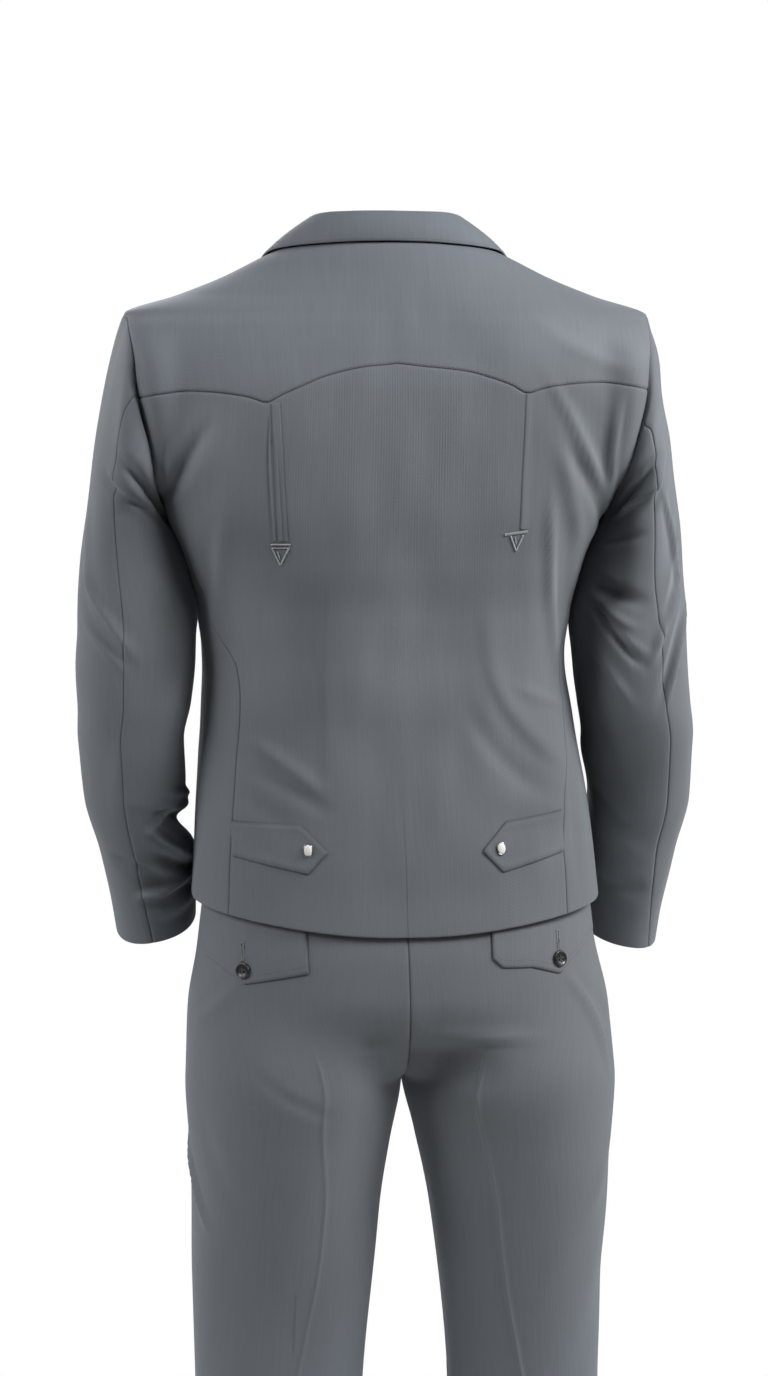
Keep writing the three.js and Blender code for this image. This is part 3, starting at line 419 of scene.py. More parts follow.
RIGHT_LEG_FOLDS = fold_chart(
    (152, -752, 118, -668, -3, 5.5, 4.4, 0.6),
    (158, -730, 134, -680, -3, 8, -1.8, 0.8),
    (20, -717, 92, -722, 0, 9, 4.0, 0.3),
    (24, -742, 76, -750, 0, 21, -8.0, 1),
    (160, -800, 130, -890, 5, 12, 1.8, 0.8),
    (60, -1110, 130, -1140, 5, 14, 2.6, 0.7),
    (70, -1160, 120, -1150, 5, 14, -2.4, 0.8),
    (60, -1470, 130, -1450, 6, 14, 3.4, 0.7),
    (240, -1450, 310, -1466, 6, 14, 4.4, 0.6),
    (300, -756, 345, -740, 4, 12, 3.6, 0.7),
    (290, -788, 350, -776, 4, 12, -3.0, 0.7),
)

SLEEVE_FOLDS = {1: LEFT_SLEEVE_FOLDS, -1: RIGHT_SLEEVE_FOLDS}
SLEEVE_PAINTED_LIGHT = {1: LEFT_SLEEVE_PAINTED_LIGHT, -1: RIGHT_SLEEVE_PAINTED_LIGHT}
LEG_FOLDS = {1: LEFT_LEG_FOLDS, -1: RIGHT_LEG_FOLDS}

# Lengths are in millimetres and heights are from the base of the neck.
SIDES = {"left": 1, "right": -1}
GRID = 4.2  # usual distance between the points of a panel
EDGE = np.array([0, 0.45, 1.0, 1.8, 3.0, 5.0])  # the closer rows at an edge
LAP = 0.2  # what two pieces share at a seam
TUCK = 3.5  # top of a sleeve, turned in under the armhole
JACKET_WALL = 1.8
TROUSER_WALL = 1.5
FLAP_WALL = 1.6
EDGING_WALL = 1.4
LAID_LIFT = 0.35  # gap under a piece that lies on another
COLLAR_LIFT = JACKET_WALL + 1.4
LAP_LIFT = JACKET_WALL + 0.95  # how far the left front stands off the right one
ARM_FILL = 20  # how far the arm fills out the back of an armhole
YOKE_TILT = 4.3  # how far the yoke's edge hangs down on the left and up on the right
HEM_BACK, HEM_SIDE, HEM_FRONT = -624, -599, -612
ARMHOLE_Z, ARMHOLE_TALL, ARMHOLE_BACK, ARMHOLE_FRONT, ARMHOLE_ROUND = -151.5, 88.5, 64, 58, 2.2
ROLL_TOP, ROLL_FOOT = (78, 4), (1, -322)
CUFF_Z = {1: -635, -1: -646}
CAP_FOOT_Z, CAP_SHARE = -290, 0.36
WAIST_TOP_Z, WAISTBAND = -498, 40
CROTCH_Z, FORK_START_Z, TROUSER_HEM_Z = -767, -680, -1530
BODY_TRAVEL, LEG_TRAVEL, CREASE_TRAVEL = 2.4, 1.5, 1.4  # millimetres of cloth to a degree round the figure
SEAM_DIP, SEAM_LINE = 1.1, 0.8  # half widths of the groove and of the dark line at a seam
PLAIN_RIBS = 0.3  # how plainly the ribs show off the back
EDGE_STITCH = 2.2  # usual inset of topstitching
STITCH_SHARE = 0.76  # length of a stitch, as a share of the pitch
TAB_START, TAB_WALL, TAB_LIFT = 69.7, 1.1, 1.25
TAB_SNAP = (87, -545.5)
SNAP_OVAL = (0.72, 0.98)
THREAD_SIDES, THREAD_WIDE = 5, 0.3
# Threads from end to end, as (share of the length, thickness), and how tall, how far raised and how sagging
# they are.
RUNNING = (((-0.5, 0.25), (-0.3, 0.9), (0, 1), (0.3, 0.9), (0.5, 0.25)), 0.24, 0.045, 0.27)
SATIN = (((-0.5, 0.3), (-0.36, 0.95), (0, 1), (0.36, 0.95), (0.5, 0.3)), 0.34, 0.0, 0.35)
WAVE_BAND = 0.31416  # scale of a wave whose bands are 1 m apart
TWILL_SPACING = 0.0016


def read(chart, column, at):
    """A smooth curve through one column of a chart, level beyond its ends."""
    key, value = next(iter(chart.values())), chart[column]
    sign = 1 if key[1] > key[0] else -1
    at = np.asarray(at, float)
    i = np.clip(np.searchsorted(sign * key, sign * at) - 1, 0, len(key) - 2)
    span = np.diff(key)
    rise = np.diff(value) / span
    slope = np.concatenate([rise[:1], np.zeros(len(key) - 2), rise[-1:]])
    same = rise[:-1] * rise[1:] > 0
    slope[1:-1][same] = (2 * rise[:-1] * rise[1:])[same] / (rise[:-1] + rise[1:])[same]
    h = span[i]
    t = np.clip((at - key[i]) / h, 0, 1)
    return (
        (2 * t**3 - 3 * t**2 + 1) * value[i]
        + (t**3 - 2 * t**2 + t) * h * slope[i]
        + (3 * t**2 - 2 * t**3) * value[i + 1]
        + (t**3 - t**2) * h * slope[i + 1]
    )


def straight(chart, column, at):
    """Straight lines through one column of a chart."""
    return np.interp(at, next(iter(chart.values())), chart[column])


def smooth(value, low=0.0, high=1.0):
    """0 up to low, 1 from high on, and a soft step between them."""
    t = np.clip((value - low) / (high - low), 0, 1)
    return t * t * (3 - 2 * t)


def within(value, start, full, still, end):
    """0 up to start, 1 from full to still, and 0 again from end on."""
    return smooth(value, start, full) * smooth(-value, -end, -still)


def hump(value, centre=0.0, wide=1.0):
    """A rounded hump, 1 at its centre."""
    return np.exp(-(((value - centre) / wide) ** 2))


def mix(a, b, share):
    """a at share 0, b at share 1."""
    return a + (b - a) * share


def power(value, to):
    """A power that keeps the value's sign."""
    return np.sign(value) * np.abs(value) ** to


def turning(low, high, test):
    """Where test turns from false to true between low and high."""
    low, high = np.array(low, float), np.array(high, float)
    for _ in range(34):
        middle = (low + high) / 2
        passed = test(middle)
        high, low = np.where(passed, middle, high), np.where(passed, low, middle)
    return (low + high) / 2


def point(x, y, z):
    return np.stack(np.broadcast_arrays(x, y, z), -1).astype(float)


def length(v):
    return np.linalg.norm(v, axis=-1)


def unit(v):
    return v / np.maximum(length(v), 1e-9)[..., None]


def which(side):
    return "left" if side > 0 else "right"


# ---- the figure's surfaces -----------------------------------------------------------------


def section(chart, turn, z):
    """A point of a level section, turn radians round from the centre back towards the wearer's left."""
    turn, z = np.broadcast_arrays(np.asarray(turn, float), np.asarray(z, float))
    s, c = np.sin(turn), np.cos(turn)
    deep = np.where(c >= 0, read(chart, "back", z), read(chart, "front", z))
    n = read(chart, "round", z)
    r = (np.abs(s / read(chart, "half", z)) ** n + np.abs(c / deep) ** n) ** (-1 / n)
    return point(r * s, r * c, z)


def torso(turn, z):
    return section(BODY, turn, z)


def turn_at(chart, x, z, front=False):
    """The turn at which a level section is x wide, in its back or front half."""
    x, z = np.broadcast_arrays(np.asarray(x, float), np.asarray(z, float))
    found = turning(
        np.zeros(x.shape),
        np.full(x.shape, math.pi / 2),
        lambda t: section(chart, math.pi - t if front else t, z)[..., 0] > np.abs(x),
    )
    return np.where(x < 0, -1, 1) * (math.pi - found if front else found)


def lap_turn(turn, z):
    """Half a seam's lap at a turn round the body, as a turn; it is negative, so that two pieces share it."""
    return -LAP / 2 / (length(torso(turn + 1e-3, z) - torso(turn - 1e-3, z)) / 2e-3)


def lap_step(surface, at):
    """The same for a surface of a sleeve or a leg, at a place round it."""
    return -LAP / 2 / (length(surface(at + 1e-3) - surface(at)) / 1e-3)


def armhole_turn(z, back):
    """The armhole is an oval seen from the side; its back or front edge as a turn round the body."""
    z = np.asarray(z, float)
    t = np.abs((z - ARMHOLE_Z) / ARMHOLE_TALL)
    deep = ARMHOLE_BACK if back else ARMHOLE_FRONT
    deep = deep * np.maximum(1 - t**ARMHOLE_ROUND, 0) ** (1 / ARMHOLE_ROUND)
    found = turning(
        np.zeros(z.shape),
        np.full(z.shape, math.pi / 2),
        lambda a: np.abs(torso(a if back else math.pi - a, z)[..., 1]) < deep,
    )
    found = np.where(t >= 1, math.pi / 2, found)
    return found if back else math.pi - found


def back_seam(z, side):
    return np.radians(read(SEAMS, which(side), z))


def front_seam(z):
    return np.radians(read(SEAMS, "front", z))


def hem_z(turn):
    t = np.abs(turn)
    behind = mix(HEM_BACK, HEM_SIDE, smooth(t, 0, math.pi / 2) ** 1.4)
    before = mix(HEM_SIDE, HEM_FRONT, smooth(t, math.pi / 2, math.pi))
    return np.where(t < math.pi / 2, behind, before)


def neck_z(turn):
    return mix(8, 5, np.clip(np.abs(turn) / (math.pi / 2), 0, 1))


def yoke_edge_z(share):
    """Height of the yoke's edge, share of the way from the centre back to an armhole."""
    z = np.full(np.shape(share), -125.0)
    for _ in range(12):
        x = torso(share * armhole_turn(z, True), z)[..., 0]
        z = read(YOKE_EDGE, "z", np.abs(x)) - YOKE_TILT * np.sign(x) * smooth(np.abs(x), 20, 105)
    return z


def roll_x(z):
    """How far out the lapel's roll line is."""
    return mix(ROLL_TOP[0], ROLL_FOOT[0], (ROLL_TOP[1] - z) / (ROLL_TOP[1] - ROLL_FOOT[1]))


def front_edge_x(z):
    """The free edge of a front: the roll line, and below it past the centre for the lap."""
    return np.where(z > ROLL_FOOT[1], roll_x(z), mix(ROLL_FOOT[0], -20, smooth(-z, 322, 338)))


def lap_off(x, z, side):
    """How far the left front stands off the right one where it laps over it."""
    return LAP_LIFT * smooth(-x, -46, -24) * smooth(-z, 270, 315) if side > 0 else 0 * x


def front_face(x, z, side):
    """The jacket's front at x across on one side, seen from before."""
    p = torso(turn_at(BODY, x, z, True), z)
    p[..., 1] -= lap_off(x, z, side)
    return p


def arm_ring(turn, z):
    """A level of the arm below its cap, tilted more and more towards the cuff."""
    tilt = smooth(-z, 420, 640)
    x = read(ARM, "wide", z) * power(np.cos(turn), 0.9)
    y = read(ARM, "deep", z) * power(np.sin(turn), 0.9)
    return point(read(ARM, "x", z) + x, read(ARM, "y", z) + y, z - tilt * (0.27 * y + 0.2 * x))


def armhole_point(turn):
    """A point of the armhole's edge; turn 0 is its top, and it goes round by the back."""
    m = 2 / ARMHOLE_ROUND
    s = np.sin(turn)
    y = np.where(s > 0, ARMHOLE_BACK, ARMHOLE_FRONT) * power(s, m)
    z = ARMHOLE_Z + ARMHOLE_TALL * power(np.cos(turn), m)
    n = read(BODY, "round", z)
    deep = np.where(y > 0, read(BODY, "back", z), read(BODY, "front", z))
    x = read(BODY, "half", z) * (1 - np.abs(y / deep) ** n) ** (1 / n)
    return point(x - 0.1, y, z)


def sleeve_point(turn, v, cuff):
    """A sleeve from the armhole (v 0) over the cap to the cuff (v 1)."""
    turn, v = np.broadcast_arrays(turn, v)
    below = arm_ring(turn, mix(CAP_FOOT_Z, cuff, (v - CAP_SHARE) / (1 - CAP_SHARE)))
    s = np.clip(v / CAP_SHARE, 0, 1)[..., None]
    start, foot = armhole_point(turn), arm_ring(turn, CAP_FOOT_Z)
    long = length(start - foot)[..., None]
    down = (1 - np.cos(turn)) / 2
    leave = unit(point(read(CAP, "out", down), 0.25 * np.sin(turn), -read(CAP, "fall", down)))
    land = unit(arm_ring(turn, CAP_FOOT_Z - 1) - foot)
    cap = (
        start * (2 * s**3 - 3 * s**2 + 1)
        + leave * (s**3 - 2 * s**2 + s) * long * mix(0.12, 0.3, down)[..., None]
        + foot * (3 * s**2 - 2 * s**3)
        + land * (s**3 - s**2) * long * 0.9
    )
    return np.where((v >= CAP_SHARE)[..., None], below, cap)


def leg_point(u, z, side):
    """One side of the trousers: u runs from the centre back or inseam over the side to the front."""
    u, z = np.broadcast_arrays(u, z)
    above = section(SEAT, np.clip(u, 0, 1) * math.pi, np.maximum(z, CROTCH_Z))
    above[..., 2] = z
    turn = 2 * math.pi * u
    wide = read(LEG, "wide", z) + read(STANCE, which(side), z)
    below = point(
        read(LEG, "x", z) - wide * power(np.cos(turn), 0.92),
        read(LEG, "y", z) + read(LEG, "deep", z) * power(np.sin(turn), 0.92),
        z,
    )
    s = np.clip((FORK_START_Z - z) / (FORK_START_Z - CROTCH_Z), 0, 1)
    near = np.cos(math.pi * u) ** 8
    return mix(above, below, mix(smooth(s), 1 - np.sqrt(1 - s * s), near)[..., None])


# ---- folds ---------------------------------------------------------------------------------


def folds(chart, a, z, stretch=1.0):
    """Height of a chart's folds at places a across and z up."""
    total = np.zeros(np.broadcast(a, z).shape)
    for a0, z0, a1, z1, bend, wide, high, steep in zip(*chart.values()):
        dx, dz = (a1 - a0) * stretch, z1 - z0
        long = math.hypot(dx, dz)
        px, pz = (a - a0) * stretch, z - z0
        t = (px * dx + pz * dz) / long**2
        bow = np.clip(t, -0.2, 1.2)
        d = (pz * dx - px * dz) / long - bend * 4 * bow * (1 - bow)
        d = d * np.where(d < 0, 1 / steep, 1) / wide
        total += high * within(t, -0.22, 0.3, 0.7, 1.22) * (hump(d) - 0.3 * hump(d, 0, 2.3))
    return total


def ripple(a, z, seed, across, along):
    """A gentle random unevenness about 1 high."""
    rng = np.random.default_rng(seed)
    total = 0
    for _ in range(9):
        k, m = rng.normal(size=2)
        total = total + np.sin(6.28 * (k * a / across + m * z / along) + rng.uniform(0, 6.28))
    return total / 3


def filled_out(p):
    """The back of each armhole, filled out by the arm inside: the body and the sleeve move together there."""
    x, y, z = np.abs(p[..., 0]), p[..., 1], p[..., 2]
    share = within(x, 188, 224, 236, 268) * smooth(y, 0, 50) * within(z, -246, -200, -112, -62)
    return p + share[..., None] * (0, ARM_FILL, 0)


def body_height(turn, z, x):
    """How far the jacket's body stands off its plain section."""
    facing = np.cos(turn)
    behind, before = smooth(facing, -0.05, 0.3), smooth(-facing, -0.05, 0.3)
    h = folds(BACK_FOLDS, x, z) * behind + folds(FRONT_FOLDS, x, z) * before
    h = h + 6.5 * hump(z, -396, 62) * smooth(facing, 0.3, 0.9)
    a = np.degrees(turn) * BODY_TRAVEL
    h = h + (0.7 * ripple(a, z, 3, 150, 330) + 0.28 * ripple(a, z, 8, 60, 170)) * smooth(-z, 20, 75)
    near_arm = smooth(np.abs(np.sin(turn)), 0.9, 0.97)
    h = mix(h, np.minimum(h, 0.6), near_arm) * smooth(z, -640, -560 + 30 * behind)
    flank = hump(np.abs(turn), 1.54, 0.2) * smooth(z, -370, -340)
    h = h + flank * np.where(turn > 0, 1.3 * smooth(-z, 235, 260), 2.8 * smooth(-z, 270, 310))
    return h - 3 * smooth(-z, 555, 612) * smooth(facing, 0.1, 0.6)


def sleeve_height(degrees, z, v, side):
    """How far a sleeve stands off its plain rings."""
    degrees = (degrees + 150) % 360 - 150
    h = folds(SLEEVE_FOLDS[side], degrees, z) + folds(SLEEVE_FOLDS[side], degrees + 360, z)
    h = h + ripple(degrees, z, 11 + side, 140, 160) * 0.9
    inner = smooth(-np.cos(np.radians(degrees)), 0.25, 0.8)
    h = mix(h, np.minimum(h, 0.4 + 5 * smooth(-z, 488, 520)), inner)
    if side > 0:
        h = h + 3.4 * hump(degrees, 166, 16) * within(z, -360, -330, -245, -205)
    else:
        h = h + (10 * hump(z, -462, 33) - 4 * hump(z, -377, 17)) * hump(degrees, 174, 22)
        h = h - (2 + 6 * hump(z, -140, 24)) * hump(degrees, 5, 34)
    swell = (10 if side > 0 else 5) * hump(degrees, 94, 30) * within(v, 0, 0.06, 0.1, 0.34)
    return h * smooth(v, 0.0, 0.06) + swell


def pressed(degrees, at, wide):
    """A pressed crease, 1 at its edge."""
    return np.exp(-np.abs((degrees - at) * CREASE_TRAVEL / wide) ** 1.3)


def leg_height(u, z, side):
    """How far a trouser leg stands off its plain rings."""
    degrees = u * 360
    h = folds(LEG_FOLDS[side], degrees, z, LEG_TRAVEL)
    h = h + ripple(degrees * LEG_TRAVEL, z, 21 + side, 170, 300) * 1.3 * smooth(-z, 600, 760)
    crease_at = mix(79 if side > 0 else 68, mix(72, 90, smooth(-z, 900, 1150)), smooth(-z, 790, 885))
    behind, before = 0.6 * pressed(degrees, crease_at, 1.7), pressed(degrees, 270, 3.0)
    h = h + (2 if side > 0 else 3.4) * behind * smooth(-z, 722, 756) + 3.4 * before * smooth(-z, 560, 640)
    seam_width = mix(30, 12, smooth(z, CROTCH_Z + 40, CROTCH_Z + 90))
    near_seam = np.minimum(degrees, 360 - degrees) / seam_width
    h = mix(np.clip(h, -0.1, 0.3), h, smooth(near_seam))
    h = h + 0.5 * within(z, -775, -765, -700, -675) * smooth(1 - near_seam)
    h = mix(np.minimum(h, 0.2), h, smooth(-z, 600, 660))
    return h + 6 * within(z, -715, -640, -610, -545) * smooth(np.cos(math.pi * u), 0.2, 0.8)


# ---- meshes --------------------------------------------------------------------------------


def shares(long, step=GRID, start=True, end=True):
    """Shares of the way along a length, closer together near its ends."""
    a, b = EDGE if start else EDGE[:1], EDGE if end else EDGE[:1]
    count = max(2, round((long - a[-1] - b[-1]) / step) + 1)
    return np.concatenate([a[:-1], np.linspace(a[-1], long - b[-1], count), long - b[-2::-1]]) / long


def quads(at, closed=False):
    """Faces of a grid of point numbers; closed joins its last column to its first."""
    if closed:
        at = np.concatenate([at, at[:, :1]], 1)
    return np.stack([at[:-1, :-1], at[:-1, 1:], at[1:, 1:], at[1:, :-1]], -1).reshape(-1, 4)


def facing_out(n, outward):
    """Unit normals, each turned to its outward side."""
    return unit(n) * np.where((n * outward).sum(-1) < 0, -1, 1)[..., None]


def normals(points, outward):
    """Unit normals of a grid of points, turned outward as a whole."""
    across, down = np.gradient(points, axis=1), np.gradient(points, axis=0)
    n = unit(np.cross(across, down))
    return n * (1 if (n * outward).sum() > 0 else -1)


def near_edges(points):
    """How far each point is from the four edges of its panel, along the cloth."""
    left = np.pad(length(np.diff(points, axis=1)).cumsum(1), ((0, 0), (1, 0)))
    top = np.pad(length(np.diff(points, axis=0)).cumsum(0), ((1, 0), (0, 0)))
    return {"left": left, "right": left[:, -1:] - left, "top": top, "bottom": top[-1:] - top}


def from_axis(points):
    return points * (1, 1, 0)


def set_down(points, side=1):
    """Millimetres of the upright figure to metres of the standing one."""
    p = points * (side, 1, 1)
    p[..., 0] += read(LEAN, "x", p[..., 2])
    return p / 1000


def new_object(name, points, faces, material, uv=None, marks=None):
    """An object from points in metres and faces that all have the same number of corners."""
    mesh = bpy.data.meshes.new(name)
    faces = np.asarray(faces, np.int32)
    corners = faces.shape[1]
    mesh.vertices.add(len(points))
    mesh.vertices.foreach_set("co", np.asarray(points, np.float32).ravel())
    mesh.loops.add(faces.size)
    mesh.loops.foreach_set("vertex_index", faces.ravel())
    mesh.polygons.add(len(faces))
    mesh.polygons.foreach_set("loop_start", np.arange(0, faces.size, corners, dtype=np.int32))
    mesh.polygons.foreach_set("use_smooth", np.ones(len(faces), bool))
    if uv is not None:
        layer = mesh.uv_layers.new(name="grain")
        layer.data.foreach_set("uv", np.asarray(uv, np.float32)[faces.ravel()].ravel())
    for mark, values in (marks or {}).items():
        mesh.attributes.new(mark, "FLOAT", "POINT").data.foreach_set("value", np.asarray(values, np.float32))
    mesh.update(calc_edges=True)
    if mesh.validate():
        raise RuntimeError(f"{name} has faces that don't fit together")
    mesh.materials.append(material)
    made = bpy.data.objects.new(name, mesh)
    bpy.context.scene.collection.objects.link(made)
    return made


def stand_for(made, slot, *nodes):
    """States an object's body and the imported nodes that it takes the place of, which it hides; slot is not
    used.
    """
    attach(made, "root")
    if nodes:
        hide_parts(*nodes)


class Panel:
    """One cut piece of cloth: a grid of points on its outer face, in millimetres, rows from the top down."""

    def __init__(
        self, name, base, outward, side=1, height=0.0, seams=None, lift=0.0, wall=JACKET_WALL, tuck=0.0
    ):
        self.name, self.side, self.wall, self.base = name, side, wall, base
        self.near = near_edges(base)
        self.near["top"] = np.abs(self.near["top"] - tuck)
        self.facing = normals(base, outward)
        # Marks for the material: darker seam lines with painted shade, and painted light and shade along the
        # folds.
        self.shade, self.tone, dip = (np.zeros(base.shape[:2]) for _ in range(3))
        self.ribs = np.full(base.shape[:2], PLAIN_RIBS)
        for edge, deep in (seams or {}).items():
            d = self.near[edge]
            dip += deep * (0.3 * hump(d, 5, 3.2) - hump(d, 0, SEAM_DIP))
            self.darken(deep * hump(d, 0, SEAM_LINE))
        self.points = base + self.facing * (height + lift + dip)[..., None]
        self.facing = normals(self.points, self.facing)
        self.grain = 0  # the column that the ribs are counted from
        self.flush = ()  # edges that keep their full thickness

    def darken(self, shade):
        """Brings the cloth at least this far towards the dark colour of the seam lines, which also serves as
        painted shade.
        """
        self.shade = np.maximum(self.shade, shade)

    def line(self, edge, inset):
        """A line of points at an inset from one edge, and the way the cloth faces at each."""
        d, over, face = self.near[edge], self.points, self.facing
        if edge in ("left", "right"):
            d, over, face = d.T, over.transpose(1, 0, 2), face.transpose(1, 0, 2)
        if d[0, 0] > d[-1, 0]:
            d, over, face = d[::-1], over[::-1], face[::-1]
        columns = range(d.shape[1])
        return [
            np.array([[np.interp(inset, d[:, i], grid[:, i, k]) for k in range(3)] for i in columns])
            for grid in (over, face)
        ]

    def build(self, material, node_name):
        """The cloth's object: this face, one a wall's thickness behind it and the band round both."""
        rows, cols = self.points.shape[:2]
        rim = np.ones((rows, cols))
        for name, edge in self.near.items():
            if name not in self.flush:
                rim = np.minimum(rim, 0.55 + 0.45 * smooth(edge, 0, 1.1))
        middle = self.points - self.facing * self.wall / 2
        half = self.facing * (rim * self.wall / 2)[..., None]
        at = np.arange(rows * cols).reshape(rows, cols)
        front = quads(at)
        ring = np.concatenate([at[0, :-1], at[:-1, -1], at[-1, :0:-1], at[:0:-1, 0]])
        after = np.roll(ring, -1)
        band = np.stack([after, ring, ring + at.size, after + at.size], -1)
        faces = np.concatenate([front, front[:, ::-1] + at.size, band])
        points = np.concatenate([(middle + half).reshape(-1, 3), (middle - half).reshape(-1, 3)])
        points = set_down(points, self.side)
        a, b, c = (points[front[:, i]] for i in (0, 1, 3))
        facing = self.facing[:-1, :-1].reshape(-1, 3) * (self.side, 1, 1)
        if (np.cross(b - a, c - a) * facing).sum() < 0:
            faces = faces[:, ::-1]
        across = self.near["left"] - self.near["left"][:, self.grain : self.grain + 1]
        uv = np.stack([across, -self.near["top"]], -1).reshape(-1, 2) / 1000
        # Seam lines with painted shade, how plainly the ribs show, and painted light and shade along the
        # folds.
        marks = {"seam_lines_and_painted_shade": self.shade, "rib_strength": self.ribs, "painted_fold_light": self.tone}
        marks = {mark: np.tile(values.ravel(), 2) for mark, values in marks.items()}
        made = new_object(self.name, points, faces, material, np.tile(uv, (2, 1)), marks)
        stand_for(made, "suit_cloth", node_name)
        return made

    def declare(self, made, held, rests_on, with_pieces):
        """Does nothing: made, held, rests_on and with_pieces are not used."""


def stepped(path, facing, pitch, reach):
    """Points at every pitch along a path, its run there, found over reach each way, and its facing."""
    along = np.concatenate([[0], length(np.diff(path, axis=0)).cumsum()])
    at = np.arange(pitch / 2, along[-1], pitch)

    def sample(values, at):
        return np.stack([np.interp(at, along, values[:, k]) for k in range(3)], 1)

    return sample(path, at), unit(sample(path, at + reach) - sample(path, at - reach)), sample(facing, at)


def threads(name, rows, form, material, side, slot):
    """One object of short rounded threads; rows are their (middles, directions, facings, lengths)."""
    shape, tall, rise, sag = form
    centre, way, up, long = (np.concatenate(part) for part in zip(*rows))
    across = unit(np.cross(up, way))
    up = np.cross(way, across)
    angle = np.arange(THREAD_SIDES) * 2 * math.pi / THREAD_SIDES
    rings = []
    for share, fat in shape:
        middle = centre + way * (share * long)[:, None] + up * (rise - abs(share) * sag)
        wider = across[:, None] * (np.cos(angle) * fat * THREAD_WIDE)[:, None]
        rings.append(middle[:, None] + wider + up[:, None] * (np.sin(angle) * fat * tall)[:, None])
    points = np.stack(rings, 1)
    one = quads(np.arange(len(shape) * THREAD_SIDES).reshape(len(shape), THREAD_SIDES), True)
    faces = one + np.arange(len(centre))[:, None, None] * len(shape) * THREAD_SIDES
    made = new_object(name, set_down(points.reshape(-1, 3), side), faces.reshape(-1, 4), material)
    stand_for(made, slot)
    return made


def running(lines, pitch, long, reach=0.5):
    """Stitches one behind another along lines of (points, facing), as rows for threads."""
    rows = [stepped(path, facing, pitch, reach) for path, facing in lines]
    return [(*row, np.full(len(row[0]), long)) for row in rows]


def satin(path, facing, wide, pitch):
    """Stitches laid side by side across a path, as a row for threads."""
    centre, way, up = stepped(path, facing, pitch, 0.4)
    return centre, unit(np.cross(up, way)), up, np.full(len(centre), wide)


def embroidered(lay, strokes, lift, pitch, side, strength):
    """Satin stitch along strokes (x0, z0, x1, z1, width) on cloth that lay finds, as rows for threads."""
    rows, share = [], np.linspace(0, 1, 24)
    for x0, z0, x1, z1, wide in strokes:
        x, z = mix(x0, x1, share), mix(z0, z1, share)
        at = lay("stroke", np.stack([x, x]), np.stack([z, z - 0.5]), side, strength, lift=lift)
        rows.append(satin(at.points[0], at.facing[0], wide, pitch))
    return rows


def turned(name, profile, centre, facing, material, segments, side, bumps=None, oval=(1, 1)):
    """A lathe-turned piece with its axis along facing; profile is (radius, height) round its section."""
    facing = unit(facing)
    across = unit(np.cross((0, 0, 1), facing))
    up = np.cross(facing, across) * oval[1]
    across = across * oval[0]
    r, h = (np.repeat(column[:, None], segments, 1) for column in np.array(profile, float).T)
    angle = np.arange(segments) * 2 * math.pi / segments
    if bumps is not None:
        h = h + bumps(r, angle[None, :])
    x, y = r * np.cos(angle), r * np.sin(angle)
    p = centre + x[..., None] * across + y[..., None] * up + h[..., None] * facing
    at = np.arange(r.size).reshape(r.shape)
    faces = quads(np.concatenate([at, at[:1]]), True)
    if side < 0:
        faces = faces[:, ::-1]
    return new_object(name, set_down(p.reshape(-1, 3), side), faces, material)


# ---- finishes ------------------------------------------------------------------------------


def node(tree, kind, links=(), **settings):
    """A shader node; settings are its properties or sockets, links are (socket, source output)."""
    made = tree.nodes.new(kind)
    for name, value in settings.items():
        if hasattr(made, name):
            setattr(made, name, value)
        else:
            made.inputs[name.replace("_", " ")].default_value = value
    for socket, source in links:
        tree.links.new(source, made.inputs[socket])
    return made


def noise(tree, place, scale, detail=2.0, **kept):
    made = node(tree, "ShaderNodeTexNoise", [("Vector", place)], Scale=scale, Detail=detail, **kept)
    return made.outputs["Fac"]


def stretched(tree, place, by):
    return node(tree, "ShaderNodeMapping", [("Vector", place)], Scale=by).outputs["Vector"]


def ranged(tree, value, low, high):
    """The part of a value between low and high, spread over 0 to 1."""
    return node(tree, "ShaderNodeMapRange", [("Value", value)], From_Min=low, From_Max=high).outputs["Result"]


def wave(tree, place, spacing, direction, **kept):
    """Soft bands at a spacing in metres."""
    kept.update(wave_type="BANDS", bands_direction=direction, Scale=WAVE_BAND / spacing)
    return node(tree, "ShaderNodeTexWave", [("Vector", place)], **kept).outputs["Fac"]


def mark(tree, name):
    """A value that the panels carry at their points."""
    return node(tree, "ShaderNodeAttribute", attribute_name=name).outputs["Fac"]


def maths(tree, operation, a, b):
    return node(tree, "ShaderNodeMath", [(0, a), (1, b)], operation=operation).outputs[0]


def object_place(tree):
    return node(tree, "ShaderNodeTexCoord").outputs["Object"]


def blended(tree, factor, a, b, mode="MIX"):
    """The colour b over a; factor is a number or an output."""
    made = node(tree, "ShaderNodeMix", data_type="RGBA", blend_type=mode)
    for socket, value in ((0, factor), (6, a), (7, b)):
        if isinstance(value, bpy.types.NodeSocket):
            tree.links.new(value, made.inputs[socket])
        else:
            made.inputs[socket].default_value = value if socket == 0 else (*value[:3], 1)
    return made.outputs[2]


def blank(name, **sockets):
    """A new material with one surface shader, its sockets set to plain values."""
    material = bpy.data.materials.new(name)
    material.use_nodes = True
    tree = material.node_tree
    shader = tree.nodes["Principled BSDF"]
    for socket, value in sockets.items():
        shader.inputs[socket.replace("_", " ")].default_value = value
    return material, tree, shader


def scaled(colour, *by):
    """A colour made lighter or darker, by one number or by one for each of its parts."""
    return tuple(min(c * k, 1) for c, k in zip(colour, by * 3 if len(by) == 1 else by))


